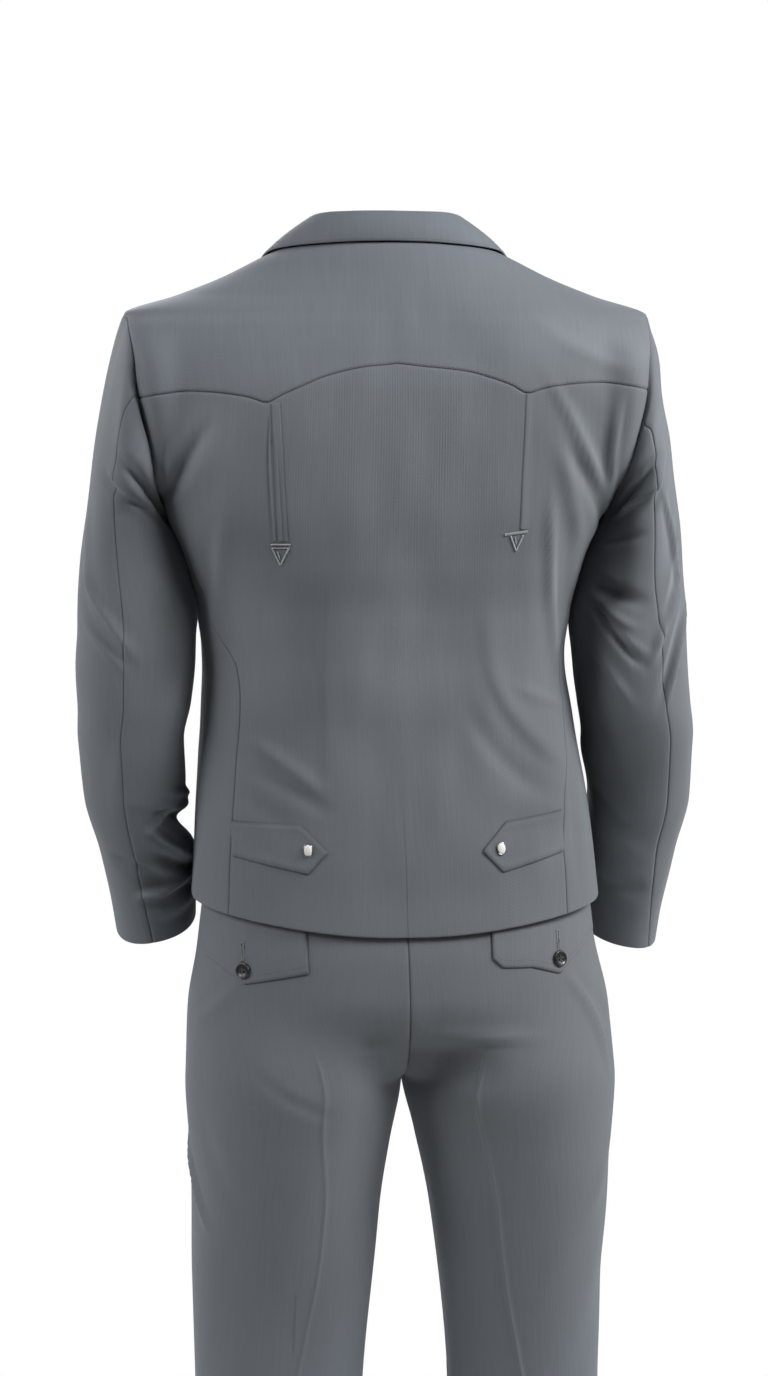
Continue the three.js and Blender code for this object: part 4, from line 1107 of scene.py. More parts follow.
def cloth_finish(name, settings, ribs=1.0):
    """Fine-ribbed suiting: ribs along the grain, loose fibres, slight mottling, darker in the seam lines and
    the painted shade, with painted light and shade along the folds.
    """
    colour, depth = settings.colour, settings.rib_shade * ribs
    material, tree, shader = blank(
        name,
        Roughness=settings.roughness,
        Sheen_Weight=settings.sheen,
        Sheen_Roughness=0.42,
        Sheen_Tint=(0.86, 0.93, 1.0, 1),
        Specular_IOR_Level=0.28,
    )
    grain, place = node(tree, "ShaderNodeUVMap", uv_map="grain").outputs["UV"], object_place(tree)
    rib = stretched(tree, grain, (1, 0.06, 1))
    rib = wave(tree, rib, settings.rib_spacing, "X", Distortion=0.9, Detail=2.0, Detail_Scale=0.8)
    twill = wave(tree, grain, TWILL_SPACING, "DIAGONAL", Distortion=0.6)
    slub = noise(tree, stretched(tree, grain, (520, 16, 1)), 1.0, 3.0, Roughness=0.6)
    fibre = noise(tree, grain, 1500.0)
    patch = ranged(tree, noise(tree, place, 5.0), 0.3, 0.7)
    tint = ranged(tree, noise(tree, place, 2.3, 1.0), 0.35, 0.65)
    uneven = ranged(tree, noise(tree, stretched(tree, grain, (70, 7, 1)), 1.0), 0.36, 0.62)
    strength = maths(tree, "MULTIPLY", mark(tree, "rib_strength"), uneven)
    body = blended(tree, patch, scaled(colour, 0.95), scaled(colour, 1.05))
    hue = blended(tree, tint, scaled(colour, 0.975, 1.0, 1.03), scaled(colour, 1.03, 1.005, 0.965))
    body = blended(tree, 0.5, body, hue)
    groove = blended(tree, rib, (1 - depth,) * 3, (1 + depth,) * 3)
    body = blended(tree, strength, body, groove, "MULTIPLY")
    body = blended(tree, 1.0, body, blended(tree, slub, (0.88,) * 3, (1.12,) * 3), "MULTIPLY")
    # Painted light and shade along the folds: the colour is multiplied by one plus the mark.
    tone = [("Value", mark(tree, "painted_fold_light"))]
    tone = node(tree, "ShaderNodeMapRange", tone, clamp=False, To_Min=1.0, To_Max=2.0).outputs["Result"]
    body = blended(tree, 1.0, body, tone, "MULTIPLY")
    # Seam lines and painted shade: the colour is drawn towards a dark seam colour.
    body = blended(tree, mark(tree, "seam_lines_and_painted_shade"), body, scaled(colour, 0.35))
    tree.links.new(body, shader.inputs["Base Color"])
    high = maths(tree, "ADD", maths(tree, "MULTIPLY", rib, strength), slub)
    coarse = node(tree, "ShaderNodeBump", [("Height", high)], Strength=0.5, Distance=settings.rib_depth)
    fine = [("Height", maths(tree, "ADD", twill, fibre)), ("Normal", coarse.outputs[0])]
    fine = node(tree, "ShaderNodeBump", fine, Strength=0.35, Distance=0.00012)
    tree.links.new(fine.outputs[0], shader.inputs["Normal"])
    return material


def mottled(name, colours, pattern, bump=0.0, **sockets):
    """A finish of two colours; pattern makes the mottling between them, which stands out by bump."""
    material, tree, shader = blank(name, **sockets)
    share = pattern(tree, object_place(tree))
    tree.links.new(blended(tree, share, *colours), shader.inputs["Base Color"])
    if bump:
        relief = node(tree, "ShaderNodeBump", [("Height", share)], Strength=bump, Distance=0.0001)
        tree.links.new(relief.outputs[0], shader.inputs["Normal"])
    return material


def thread_finish(name, colour):
    """Twisted sewing thread: light and dark strands wound round it."""

    def strands(tree, place):
        return noise(tree, place, 1400.0)

    gloss = dict(Roughness=0.6, Sheen_Weight=0.2, Specular_IOR_Level=0.35)
    return mottled(name, (scaled(colour, 0.72), scaled(colour, 1.25)), strands, 0.4, **gloss)


def metal_finish(name, colour):
    """Polished grey metal with hairline turning marks."""

    def marks(tree, place):
        return noise(tree, place, 2600.0)

    shades = scaled(colour, 0.8), scaled(colour, 1.1)
    return mottled(name, shades, marks, 0.12, Metallic=1.0, Roughness=0.26)


def pearl_finish(name, colour):
    """Pearl: pale swirls under a glossy coat."""
    cool = scaled(colour, 1.12, 1.19, 1.34)

    def swirls(tree, place):
        return ranged(tree, noise(tree, place, 260.0, 3.0, Distortion=2.4), 0.35, 0.65)

    gloss = dict(Roughness=0.22, Coat_Weight=0.7, Coat_Roughness=0.06)
    return mottled(name, (cool, scaled(cool, 1.25)), swirls, **gloss)


def button_finish(name, colour):
    """Dark horn-like button: faint streaks, satin polish."""

    def streaks(tree, place):
        return noise(tree, stretched(tree, place, (600, 90, 160)), 1.0, 3.0, Distortion=1.2)

    gloss = dict(Roughness=0.34, Coat_Weight=0.25, Coat_Roughness=0.2)
    return mottled(name, (scaled(colour, 0.7), scaled(colour, 1.9)), streaks, **gloss)


def floor_finish(name, colour):
    """Plain matt floor with a trace of unevenness."""

    def clouds(tree, place):
        return noise(tree, place, 3.0)

    shades = scaled(colour, 0.985), scaled(colour, 1.0)
    return mottled(name, shades, clouds, Roughness=0.9, Specular_IOR_Level=0.1)


def finish_of(kind, context):
    """The finish of that kind, made once from the current settings."""
    found = bpy.data.materials.get(kind)
    if found:
        return found
    cloth, trim = context.scene.suit_cloth, context.scene.suit_trim
    make, *given = {
        "suiting": (cloth_finish, cloth),
        "suiting_back": (cloth_finish, cloth, 2.6),
        "trouser_suiting": (cloth_finish, cloth, 0.8),
        "seam_thread": (thread_finish, scaled(cloth.colour, 0.72)),
        "tack_thread": (thread_finish, trim.thread_colour),
        "buttonhole_thread": (thread_finish, scaled(trim.thread_colour, 0.55)),
        "button_thread": (thread_finish, scaled(trim.button_colour, 2.2)),
        "snap_metal": (metal_finish, trim.metal_colour),
        "snap_pearl": (pearl_finish, trim.pearl_colour),
        "dark_button": (button_finish, trim.button_colour),
    }[kind]
    return make(kind, *given)


# ---- the pieces ----------------------------------------------------------------------------


def between(levels, counts, first, last):
    """Rows through a list of levels, counts of them from each to the next, closer at both ends.

    first and last are the lengths of the end spans in millimetres.
    """
    levels = np.array(np.broadcast_arrays(*levels))
    at = np.concatenate([i + np.arange(n) / n for i, n in enumerate(counts)] + [[len(counts)]])
    at = np.concatenate([at, EDGE[1:5] / first, len(counts) - EDGE[1:5] / last])
    at = np.unique(np.round(at, 5))
    i = np.minimum(at.astype(int), len(counts) - 1)
    return mix(levels[i], levels[i + 1], (at - i)[:, None])


def rib_strength(x, z):
    """How plainly the ribs of the cloth show on the back: most in its middle, below the yoke."""
    return 0.2 + 0.8 * np.exp(-((x / 104) ** 6)) * smooth(z, -345, -215)


def on_body(name, turn, z, side, strength, base=None, **kept):
    """A panel of the jacket's body at these turns and heights, with its folds."""
    base = torso(turn, z) if base is None else base
    x = base[..., 0] * side
    height = body_height(turn * side, z, x) * strength
    base = filled_out(base)
    panel = Panel(name, base, from_axis(base), side, height, **kept)
    # Painted light and shade along the folds of the back.
    panel.tone = folds(BACK_PAINTED_LIGHT, x, z) * smooth(np.cos(turn), 0.05, 0.35)
    return panel


def yoke_panel(strength):
    share = 2 * shares(440) - 1
    foot = yoke_edge_z(share) - LAP / 2
    marks = (0, -6, -16, -28, -40, -52, -63, -75, -90)
    levels = [neck_z(share * math.pi / 2), *(np.full(share.shape, m) for m in marks), (foot - 90) / 2, foot]
    z = between(levels, (3, 4, 5, 5, 6, 6, 6, 4, 4, 5, 5), 12, 20)
    turn = share * (armhole_turn(z, True) - lap_turn(1.5, z))
    panel = on_body("yoke", turn, z, 1, strength, seams={"left": 0.4, "right": 0.4, "bottom": 0.55})
    panel.grain = len(share) // 2
    return panel


def back_panel(side, strength):
    u = shares(205, 3.1)
    top = yoke_edge_z(u * side) + LAP / 2
    z = between([top, hem_z(u * back_seam(-600, side))], [140], 490, 490)
    arm = armhole_turn(z, True)
    out = np.where(z < ARMHOLE_Z, np.minimum(arm, back_seam(z, side)), arm)
    turn = mix(lap_turn(0, z), out - lap_turn(out, z), u)
    panel = on_body("back_" + which(side), turn, z, side, strength, seams={"right": 0.3, "top": 0.55})
    panel.flush = ("left",)
    panel.ribs = rib_strength(panel.base[..., 0], z)
    panel.darken(0.5 * hump(panel.near["left"], 0, 0.6) * smooth(-z, 480, 570))
    return panel


def side_panel(side, strength):
    u = shares(130)

    def turn(z):
        lap = lap_turn(math.pi / 2, z)
        return mix(back_seam(z, side) + lap, front_seam(z) - lap, u)

    def clear(d):
        """Whether the panel is outside the armhole's oval, d down from the neck."""
        p = torso(turn(-d), -d)
        deep = np.where(p[..., 1] > 0, ARMHOLE_BACK, ARMHOLE_FRONT)
        share = np.abs(p[..., 1] / deep) ** ARMHOLE_ROUND
        return share + np.abs((-d - ARMHOLE_Z) / ARMHOLE_TALL) ** ARMHOLE_ROUND >= 1

    start = np.full(u.shape, -ARMHOLE_Z)
    top = LAP / 2 - turning(start, start + ARMHOLE_TALL, clear)
    z = between([top, hem_z(turn(np.full(u.shape, -600.0)))], [88], 370, 370)
    seams = {"left": 0.4, "right": 0.4, "top": 0.5}
    return on_body("side_" + which(side), turn(z), z, side, strength, seams=seams)


def front_panel(side, strength):
    u = shares(250)

    def ends(z):
        arm = armhole_turn(z, False)
        start = np.where(z < ARMHOLE_Z, np.maximum(arm, front_seam(z)), arm) + lap_turn(1.6, z)
        x = front_edge_x(z)
        edge = turn_at(BODY, x, z, True)
        return start, np.where(x >= 0, edge, 2 * math.pi + edge)

    low = mix(*ends(np.full(u.shape, -560.0)), u)
    past = np.clip((62 - torso(low, np.full(u.shape, -590.0))[..., 0]) / 82, 0, 1)
    foot = hem_z(np.minimum(low, math.pi)) + 46 * (1 - np.sqrt(1 - 0.98 * past**2))
    marks = [np.full(u.shape, m) for m in (-4, -14, -28, -45, -63, -85, -515)]
    levels = [mix(5, 4, u), *marks, mix(-560, (foot - 607) / 2 + 23, u * u), foot]
    z = between(levels, (4, 6, 7, 9, 11, 6, 102, 11, 12), 10, 40)
    turn = mix(*ends(z), u)
    base = torso(turn, z)
    base[..., 1] -= lap_off(base[..., 0], z, side)
    panel = on_body("front_" + which(side), turn, z, side, strength, base, seams={"left": 0.5})
    panel.grain = len(u) // 2
    return panel


def body_normal(turn, z):
    """Which way the plain jacket faces there."""
    n = np.cross(torso(turn + 2e-4, z) - torso(turn - 2e-4, z), torso(turn, z + 0.01) - torso(turn, z - 0.01))
    return facing_out(n, from_axis(torso(turn, z)))


def collar_point(at, w):
    """The collar's fall, from the roll (w 0) to its free edge (w 1), at a place along it."""
    at, w = np.broadcast_arrays(np.asarray(at, float), np.asarray(w, float))
    a = np.abs(at)
    roll = point(read(COLLAR, "roll_x", a), read(COLLAR, "roll_y", a), read(COLLAR, "roll_z", a))
    turn, z = np.radians(read(COLLAR, "edge_turn", a)), read(COLLAR, "edge_z", a)
    edge = torso(turn, z) + body_normal(turn, z) * COLLAR_LIFT
    free = mix(roll, edge, w[..., None]) + unit(from_axis(edge)) * (12 * w * (1 - w))[..., None]
    lay = read(COLLAR, "lay", a)
    under_z = np.minimum(free[..., 2], 0)
    under_turn = turn_at(BODY, free[..., 0], under_z, True)
    under, face = torso(under_turn, under_z), body_normal(under_turn, under_z)
    on = under[..., 1] - COLLAR_LIFT / np.maximum(-face[..., 1], 0.5)
    laid = mix(free[..., 1], on, lay)
    laid = np.where(lay > 0.5, np.minimum(laid, on), laid)
    free[..., 1] = np.where(lay > 0, laid, free[..., 1])
    free[..., 0] *= np.where(at < 0, -1, 1)
    return free


def neck_edge(at):
    """The seam that the collar's band stands on, at the same places."""
    a = np.abs(at)
    z = np.where(
        a <= 4,
        neck_z(np.radians(read(COLLAR, "neck_turn", a))),
        mix(5, -34, (np.maximum(a - 4, 0) / 3) ** 1.6),
    )
    before = turn_at(BODY, np.minimum(roll_x(z), read(BODY, "half", z) - 0.3), z, True)
    p = torso(np.where(a <= 4, np.radians(read(NECK_SEAM, "neck_turn", np.minimum(a, 4))), before), z)
    p[..., 0] *= np.where(at < 0, -1, 1)
    return p


def collar_panels():
    """The fall and the band that it turns over."""
    at = np.concatenate([-7 + EDGE[:5] / 24, np.linspace(-6.8, 6.8, 121), 7 - EDGE[4::-1] / 24])
    w = shares(34, 2.4)[:, None]
    base = collar_point(at, w)
    fall = Panel("collar", base, from_axis(base) + (0, 0, 60))
    fall.points = fall.points + fall.facing * (0.35 * ripple(at * 20, w * 30, 5, 90, 60))[..., None]
    fall.grain = len(at) // 2
    at = np.linspace(-5.3, 5.3, 105)
    a, none, step = np.abs(at), 0 * at, 2e-3
    top = collar_point(at, none)
    along = collar_point(at + 14 * step, none) - collar_point(at - 14 * step, none)
    n = facing_out(np.cross(along, collar_point(at, none + step) - top), from_axis(top) + (0, 0, 60))
    top = top - n * (JACKET_WALL + 0.9 + smooth(a, 4, 5.3))[..., None]
    foot = neck_edge(at)
    foot[..., 0] -= np.sign(at) * 0.9 * smooth(a, 3.8, 4.6)
    base = mix(foot, top, mix(0.03, 1, 1 - shares(26, 3.0))[:, None, None])
    band = Panel("collar_band", base, from_axis(base) + (0, 0, 10))
    band.grain = len(at) // 2
    return fall, band


def lapel_panel(side, strength):
    t, s = shares(250, 3.0)[:, None], shares(60, 3.0)[None, :]
    inner_z, outer_z = mix(-36.6, -318, t), mix(-82, -316, t)
    outer_x = np.interp(-outer_z, -LAPEL_EDGE["z"], LAPEL_EDGE["x"])
    x, z = mix(roll_x(inner_z) + 0.2, outer_x, s), mix(inner_z, outer_z, s)
    base = front_face(x, z, side)
    roll = 2.6 * np.sin(math.pi * s**0.6) * within(t, 0, 0.16, 0.9, 1)
    height = body_height(turn_at(BODY, x, z, True) * side, z, x * side) * strength + roll
    name, lift = "lapel_" + which(side) + "_cloth", LAID_LIFT + JACKET_WALL
    return Panel(name, base, from_axis(base), side, height, lift=lift)


def sleeve_turn(z):
    """The turn round the sleeve's top edge at which it is z high."""
    return math.acos(power(np.clip((z - ARMHOLE_Z) / ARMHOLE_TALL, -1, 1), ARMHOLE_ROUND / 2))


def sleeve_columns(v, side):
    """Turns round the sleeve of its front seam, its back seam and the front seam again."""
    start = np.array([-ARMHOLE_Z])
    top = turning(start, start + ARMHOLE_TALL, lambda d: armhole_turn(-d, False) < front_seam(-d))[0]
    front = sleeve_turn(-top)
    behind = sleeve_turn(yoke_edge_z(np.full(1, side))[0]) + np.radians(read(SLEEVE_SEAM, which(side), v))
    return -front + 0 * v, behind, 2 * math.pi - front + 0 * v


def sleeve_panels(side, strength):
    """The top and the under piece of one sleeve."""
    cap, arm = shares(210, 3.2, end=False) * CAP_SHARE, mix(CAP_SHARE, 1, shares(350, 3.0, start=False))
    v = np.concatenate([cap, arm[1:]])[:, None]
    front, behind, front_again = sleeve_columns(v, side)
    seams = {"left": 0.35, "right": 0.35, "top": 0.15}
    # Painted shade on the side of the sleeve that turns in against the body starts at these turns.
    first, last = (104, 136) if side < 0 else (112, 142)  # where the side against the body starts, in degrees
    made = []

    def surface(turn):
        return sleeve_point(turn, v, CUFF_Z[side])

    for name, start, end, wide in (
        ("sleeve_", front, behind, 270),
        ("sleeve_under_", behind, front_again, 130),
    ):
        turn = mix(start + lap_step(surface, start), end - lap_step(surface, end), shares(wide, 3.2)[None, :])
        base = surface(turn)
        base = filled_out(np.concatenate([base[:1] - (TUCK, 0, 0), base]))
        x, y, z = base[..., 0], base[..., 1], base[..., 2]
        level = np.minimum(z, CAP_FOOT_Z)
        outward = point(x - read(ARM, "x", level), y - read(ARM, "y", level), np.maximum(0, (z + 170) * 2))
        height = sleeve_height(np.degrees(turn), z[1:], v, side) * strength
        height = height * (0.35 + 0.65 * smooth(1 - v, 0, 0.08))
        height = np.concatenate([height[:1], height])
        panel = Panel(name + which(side) + "_cloth", base, outward, side, height, seams, tuck=TUCK)
        panel.grain = base.shape[1] // 2
        degrees = np.degrees(np.concatenate([turn[:1], turn]))
        # Painted shade on the inner side of the sleeve, where it turns in against the body, fading out
        # towards the armpit and the forearm.
        painted_shade_from = mix(first, last, smooth(-z, 260, 480))
        inner = within(degrees, painted_shade_from, painted_shade_from + 30, 190, 225)
        panel.darken(0.74 * inner * within(z, -535, -470, -250, -215))
        # Painted light and shade along the sleeve's folds.
        panel.tone = np.maximum(-0.75, folds(SLEEVE_PAINTED_LIGHT[side], degrees, z))
        made.append(panel)
    return made


def leg_panels(side, strength):
    """The back and the front of one trouser leg."""
    z = mix(WAIST_TOP_Z - WAISTBAND - 0.3, TROUSER_HEM_Z, shares(992, 5.2))[:, None]
    across = shares(290, 4.6)
    made = []

    def surface(at):
        return leg_point(at, z, side)

    for name, start, end, share in (
        ("trouser_back_", 0.0, 0.5, np.unique(np.concatenate([across, np.linspace(0.34, 0.54, 48)]))),
        ("trouser_front_", 0.5, 1.0, across),
    ):
        u = mix(start + lap_step(surface, start), end - lap_step(surface, end - 1e-3), share[None, :])
        base = surface(u)
        base[..., 0] = np.maximum(base[..., 0], -LAP / 2)
        outward = point(base[..., 0] - read(LEG, "x", z), base[..., 1] - read(LEG, "y", z), 0)
        height, seams = leg_height(u, z, side) * strength, {"left": 0.5, "right": 0.5}
        panel = Panel(name + which(side) + "_cloth", base, outward, side, height, seams, wall=TROUSER_WALL)
        if side < 0:
            # Painted shadow under the seat, on the inside of the right leg.
            painted_seat_shadow = within(z, -860, -755, -738, -722) * smooth(-u, -0.24, -0.1)
            panel.darken(0.55 * painted_seat_shadow * (u < 0.5))
        panel.grain = base.shape[1] // 2
        made.append(panel)
    return made


# ---- what lies on the pieces ---------------------------------------------------------------


def laid_on_back(
    name, x, z, side, strength, extra=0.0, wall=JACKET_WALL, lift=LAID_LIFT + JACKET_WALL, seams=None
):
    """A panel lying on the jacket's back at x across and z up; extra is its own height over the folds."""
    turn = turn_at(BODY, x, z)
    base = torso(turn, z)
    height = body_height(turn * side, z, x * side) * strength + extra
    panel = Panel(name, base, from_axis(base), side, height, seams, lift, wall)
    # Painted light and shade along the back's folds, as on the cloth under it.
    panel.tone = folds(BACK_PAINTED_LIGHT, x * side, z)
    return panel


def laid_on_trousers(
    name, x, z, side, strength, front=False, wall=FLAP_WALL, lift=LAID_LIFT + FLAP_WALL, seams=None
):
    """A panel lying on the back or the front of the trousers."""
    u = turn_at(SEAT, x, z, front) / math.pi
    base = leg_point(u, z, side)
    return Panel(name, base, from_axis(base), side, leg_height(u, z, side) * strength, seams, lift, wall)


def laid_on_front(name, x, z, side, strength):
    """The outer face of the jacket's front, where the snaps stand."""
    base = front_face(x, z, side)
    height = body_height(turn_at(BODY, x, z, True) * side, z, x * side) * strength
    return Panel(name, base, from_axis(base), side, height)


def spot(lay, x, z, side, strength):
    """The place and facing of a point on cloth; lay makes a small panel there."""
    across, down = np.meshgrid(np.linspace(x - 2, x + 2, 5), np.linspace(z + 2, z - 2, 5))
    panel = lay("spot", across, down, side, strength)
    return panel.points[2, 2], panel.facing[2, 2]


def snap_on(name, centre, facing, side, context):
    """A press snap: turned metal rim with a beaded edge, and a domed pearl cap."""
    rim = [(5.3, 0.1), (5.7, 0), (6.1, 0.25), (6.25, 0.7), (6.1, 1.15), (5.85, 1.35), (5.6, 1.3)]
    rim += [(5.4, 1.0), (5.3, 0.5)]
    cap = [(0.001, 0.0), (5.0, 0.0), (5.2, 0.4), (5.15, 1.0), (4.9, 1.5), (4.2, 1.9), (3.1, 2.2), (1.7, 2.38)]
    cap += [(0.5, 2.44), (0.001, 2.45)]

    def beads(r, a):
        return 0.07 * np.cos(28 * a) * (r > 5.9)

    for part, node_end, profile, bumps, slot in (
        ("_ring", "_rim", rim, beads, "snap_metal"),
        ("_pearl", "_cap", cap, None, "snap_pearl"),
    ):
        finish = finish_of(slot, context)
        made = turned(name + part, profile, centre, facing, finish, 56, side, bumps, SNAP_OVAL)
        stand_for(made, slot, name + node_end)


def button_on(name, centre, facing, side, node_name, context):
    """A four-hole button with a raised lip, sewn on with two bars of thread."""
    holes = [(2.1 * math.cos(a), 2.1 * math.sin(a)) for a in (math.pi / 4 + np.arange(4) * math.pi / 2)]

    def pits(r, a):
        x, y = r * np.cos(a), r * np.sin(a)
        deep = sum(np.exp(-((np.hypot(x - hx, y - hy) / 0.8) ** 4)) for hx, hy in holes)
        return -1.5 * deep * (np.arange(len(r)) > 4)[:, None]

    lip = [(0.001, 0.0), (4.0, 0.0), (6.6, 0.05), (7.3, 0.6), (7.5, 1.3), (7.3, 2.3), (6.7, 2.9)]
    lip += [(6.0, 3.0), (5.4, 2.75)]
    dish = [(4.9, 2.35), *((r, 2.15 + 0.02 * r) for r in np.arange(3.8, 0.2, -0.3)), (0.001, 2.15)]
    disc = turned(name, lip + dish, centre, facing, finish_of("dark_button", context), 64, side, pits)
    across = unit(np.cross((0, 0, 1), facing))
    up = np.cross(facing, across)
    bars = []
    for y in (-1.5, 1.5):
        ends = np.array([centre + across * x + up * y + facing * 2.35 for x in (-1.7, 1.7)])
        bars += [(ends + up * shift, np.array([facing, facing])) for shift in (-0.25, 0.25)]
    thread = finish_of("button_thread", context)
    threads(name + "_thread", running(bars, 3.4, 3.2), RUNNING, thread, side, "dark_button")
    stand_for(disc, "dark_button", node_name)


def dress(panel, material, node_name, context, rests_on=(), stitched=()):
    """Makes a panel's object with its topstitching, as (edge, inset) pairs."""
    made = panel.build(finish_of(material, context), node_name)
    extra = []
    if stitched:
        pitch = context.scene.suit_trim.stitch_pitch * 1000
        rows = running([panel.line(edge, inset) for edge, inset in stitched], pitch, pitch * STITCH_SHARE)
        thread = finish_of("seam_thread", context)
        extra = [threads(panel.name + "_stitches", rows, RUNNING, thread, panel.side, "suit_cloth")]
    panel.declare(made, "laid" if rests_on else "draped", rests_on, extra)


def folding(context):
    return context.scene.suit_cloth.fold_strength


# ---- operators -----------------------------------------------------------------------------


class SUIT_OT_jacket_body(bpy.types.Operator):
    """Yoke, backs, side panels and fronts of the jacket"""

    bl_idname = "suit.jacket_body"
    bl_label = "Jacket body"

    def execute(self, context):
        strength = folding(context)
        dress(yoke_panel(strength), "suiting", "jacket_yoke", context, stitched=[("bottom", EDGE_STITCH)])
        for name, side in SIDES.items():
            dress(back_panel(side, strength), "suiting_back", "jacket_back_" + name, context)
            dress(side_panel(side, strength), "suiting", "jacket_side_" + name, context)
            front = front_panel(side, strength)
            dress(front, "suiting", "jacket_front_" + name, context, stitched=[("right", 4.0)])
        return {"FINISHED"}


class SUIT_OT_collar(bpy.types.Operator):
    """Collar fall and the band that it turns over"""

    bl_idname = "suit.collar"
    bl_label = "Collar"

    def execute(self, context):
        fall, band = collar_panels()
        dress(fall, "suiting", "collar_fall", context, stitched=[("bottom", 2.4)])
        dress(band, "suiting", "collar_stand", context)
        return {"FINISHED"}


class SUIT_OT_lapels(bpy.types.Operator):
    """Lapels rolled back on both fronts"""

    bl_idname = "suit.lapels"
    bl_label = "Lapels"

    def execute(self, context):
        for name, side in SIDES.items():
            panel, stitched = lapel_panel(side, folding(context)), [("right", 2.4), ("top", 2.4)]
            dress(panel, "suiting", "lapel_" + name, context, ["front_" + name], stitched)
        return {"FINISHED"}


class SUIT_OT_sleeves(bpy.types.Operator):
    """Both sleeves, each of a top and an under piece"""

    bl_idname = "suit.sleeves"
    bl_label = "Sleeves"

    def execute(self, context):
        for name, side in SIDES.items():
            top, under = sleeve_panels(side, folding(context))
            dress(top, "suiting", "sleeve_top_" + name, context)
            dress(under, "suiting", "sleeve_under_" + name, context)
        return {"FINISHED"}


class SUIT_OT_action_pleats(bpy.types.Operator):
    """Action pleats below the yoke, each ending in an embroidered arrowhead"""

    bl_idname = "suit.action_pleats"
    bl_label = "Action pleats"

    def execute(self, context):
        strength = folding(context)
        s, t = shares(18, 0.8)[None, :], shares(125, 3.0)[:, None]
        for name, side in SIDES.items():
            top, foot, line_top, line_foot = PLEAT[name]
            z = mix(top - side * (YOKE_TILT - 0.5), foot + 0.5, t) + 0 * s
            line = mix(line_top, line_foot, t)
            if side > 0:
                inner, outer = line - 9.5, line + mix(0.6, 4.4, smooth(t, 0, 0.5))
            else:
                inner, outer = line - 0.6, line + 10.2
            x = mix(inner, outer, s)
            # The pleat's crease is sunk into the cloth, and it and the pleat's edges are painted darker, as
            # painted shade in the creases.
            opened = hump(x, line, mix(1.35, 0.9, t))
            crease, shades = -1.1 * opened, [opened * mix(1, 0.7, t)]
            if side > 0:
                second = hump(x, line - 5.2, 0.7) * smooth(t, 0.25, 0.6)
                crease = crease - 0.5 * second
                shades += [
                    0.45 * second,
                    0.6 * hump(x, inner, 0.7) * smooth(t, 0.1, 0.6),
                    0.35 * hump(x, outer, 0.6) * smooth(t, 0.1, 0.4),
                ]
            else:
                crease = crease - 0.7 * smooth(x, outer - 8, outer - 1)
            panel = laid_on_back("pleat_" + name, x, z, side, strength, crease, wall=0.7, lift=0.8)
            for shade in shades:
                panel.darken(shade)
            panel.ribs = rib_strength(x, z)
            dress(panel, "suiting_back", "pleat_fold_" + name, context, ["back_" + name])
            middle, top, half, tall = ARROW[name]
            strokes = [
                (middle + half * x0, top - tall * z0, middle + half * x1, top - tall * z1, wide)
                for x0, z0, x1, z1, wide in ARROW_STROKES[name]
            ]
            rows = embroidered(laid_on_back, strokes, LAID_LIFT + 0.45, 0.5, side, strength)
            thread = finish_of("tack_thread", context)
            arrow = threads("arrow_" + name, rows, SATIN, thread, side, "tack_thread")
            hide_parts("arrow_tack_" + name)
        return {"FINISHED"}


class SUIT_OT_waist_tabs(bpy.types.Operator):
    """Pointed tabs at the back of the waist, with their snaps"""

    bl_idname = "suit.waist_tabs"
    bl_label = "Waist tabs"

    def execute(self, context):
        strength = folding(context)
        # The tab's edges are sunk a little and painted darker, as painted shadow under them.
        seams = {"top": 0.8, "bottom": 0.85, "right": 0.6, "left": 1.0}
        for name, side in SIDES.items():
            cut = TAB[name]
            x = mix(TAB_START, cut["x"][-1], shares(80, 2.2))
            top, foot = straight(cut, "top", x), straight(cut, "foot", x)
            z = mix(top, foot, shares(44, 2.4)[:, None])
            x = x[None, :] + 0 * z
            edge = np.minimum(np.minimum(top - z, z - foot), (x - cut["x"][0]) * 0.8)
            puff = 0.2 * hump(edge, 4.5, 3) - 0.25 * hump(edge, 2.2, 0.8)
            panel = laid_on_back("tab_" + name, x, z, side, strength, puff, TAB_WALL, TAB_LIFT, seams)
            # Painted shadow under the tab's top and bottom edges, wider near the right tab's point.
            painted_shadow_width = 1.7
            if side < 0:
                painted_shadow_width = mix(1.7, 2.8, smooth(-x, -93, -86) * (z < mix(top, foot, 0.4)))
            panel.darken(0.9 * hump(np.minimum(panel.near["top"], panel.near["bottom"]), 0, painted_shadow_width))
            stitched = [("top", EDGE_STITCH), ("bottom", EDGE_STITCH)]
            dress(panel, "suiting", "waist_tab_" + name, context, ["back_" + name], stitched)
            centre, facing = spot(laid_on_back, *TAB_SNAP, side, strength)
            snap_on("tab_snap_" + name, centre - facing * 0.75, facing, side, context)
        return {"FINISHED"}


class SUIT_OT_front_snaps(bpy.types.Operator):
    """The two snaps that close the fronts"""

    bl_idname = "suit.front_snaps"
    bl_label = "Front snaps"

    def execute(self, context):
        for name, z in (("upper", -338), ("lower", -438)):
            centre, facing = spot(laid_on_front, 0.1, z, 1, folding(context))
            snap_on("front_snap_" + name, centre + facing * 0.25, facing, 1, context)
        return {"FINISHED"}


class SUIT_OT_trouser_legs(bpy.types.Operator):
    """Back and front panels of the trousers"""

    bl_idname = "suit.trouser_legs"
    bl_label = "Trouser legs"

    def execute(self, context):
        for name, side in SIDES.items():
            back, front = leg_panels(side, folding(context))
            dress(back, "trouser_suiting", "trouser_back_" + name, context)
            dress(front, "trouser_suiting", "trouser_front_" + name, context)
        return {"FINISHED"}


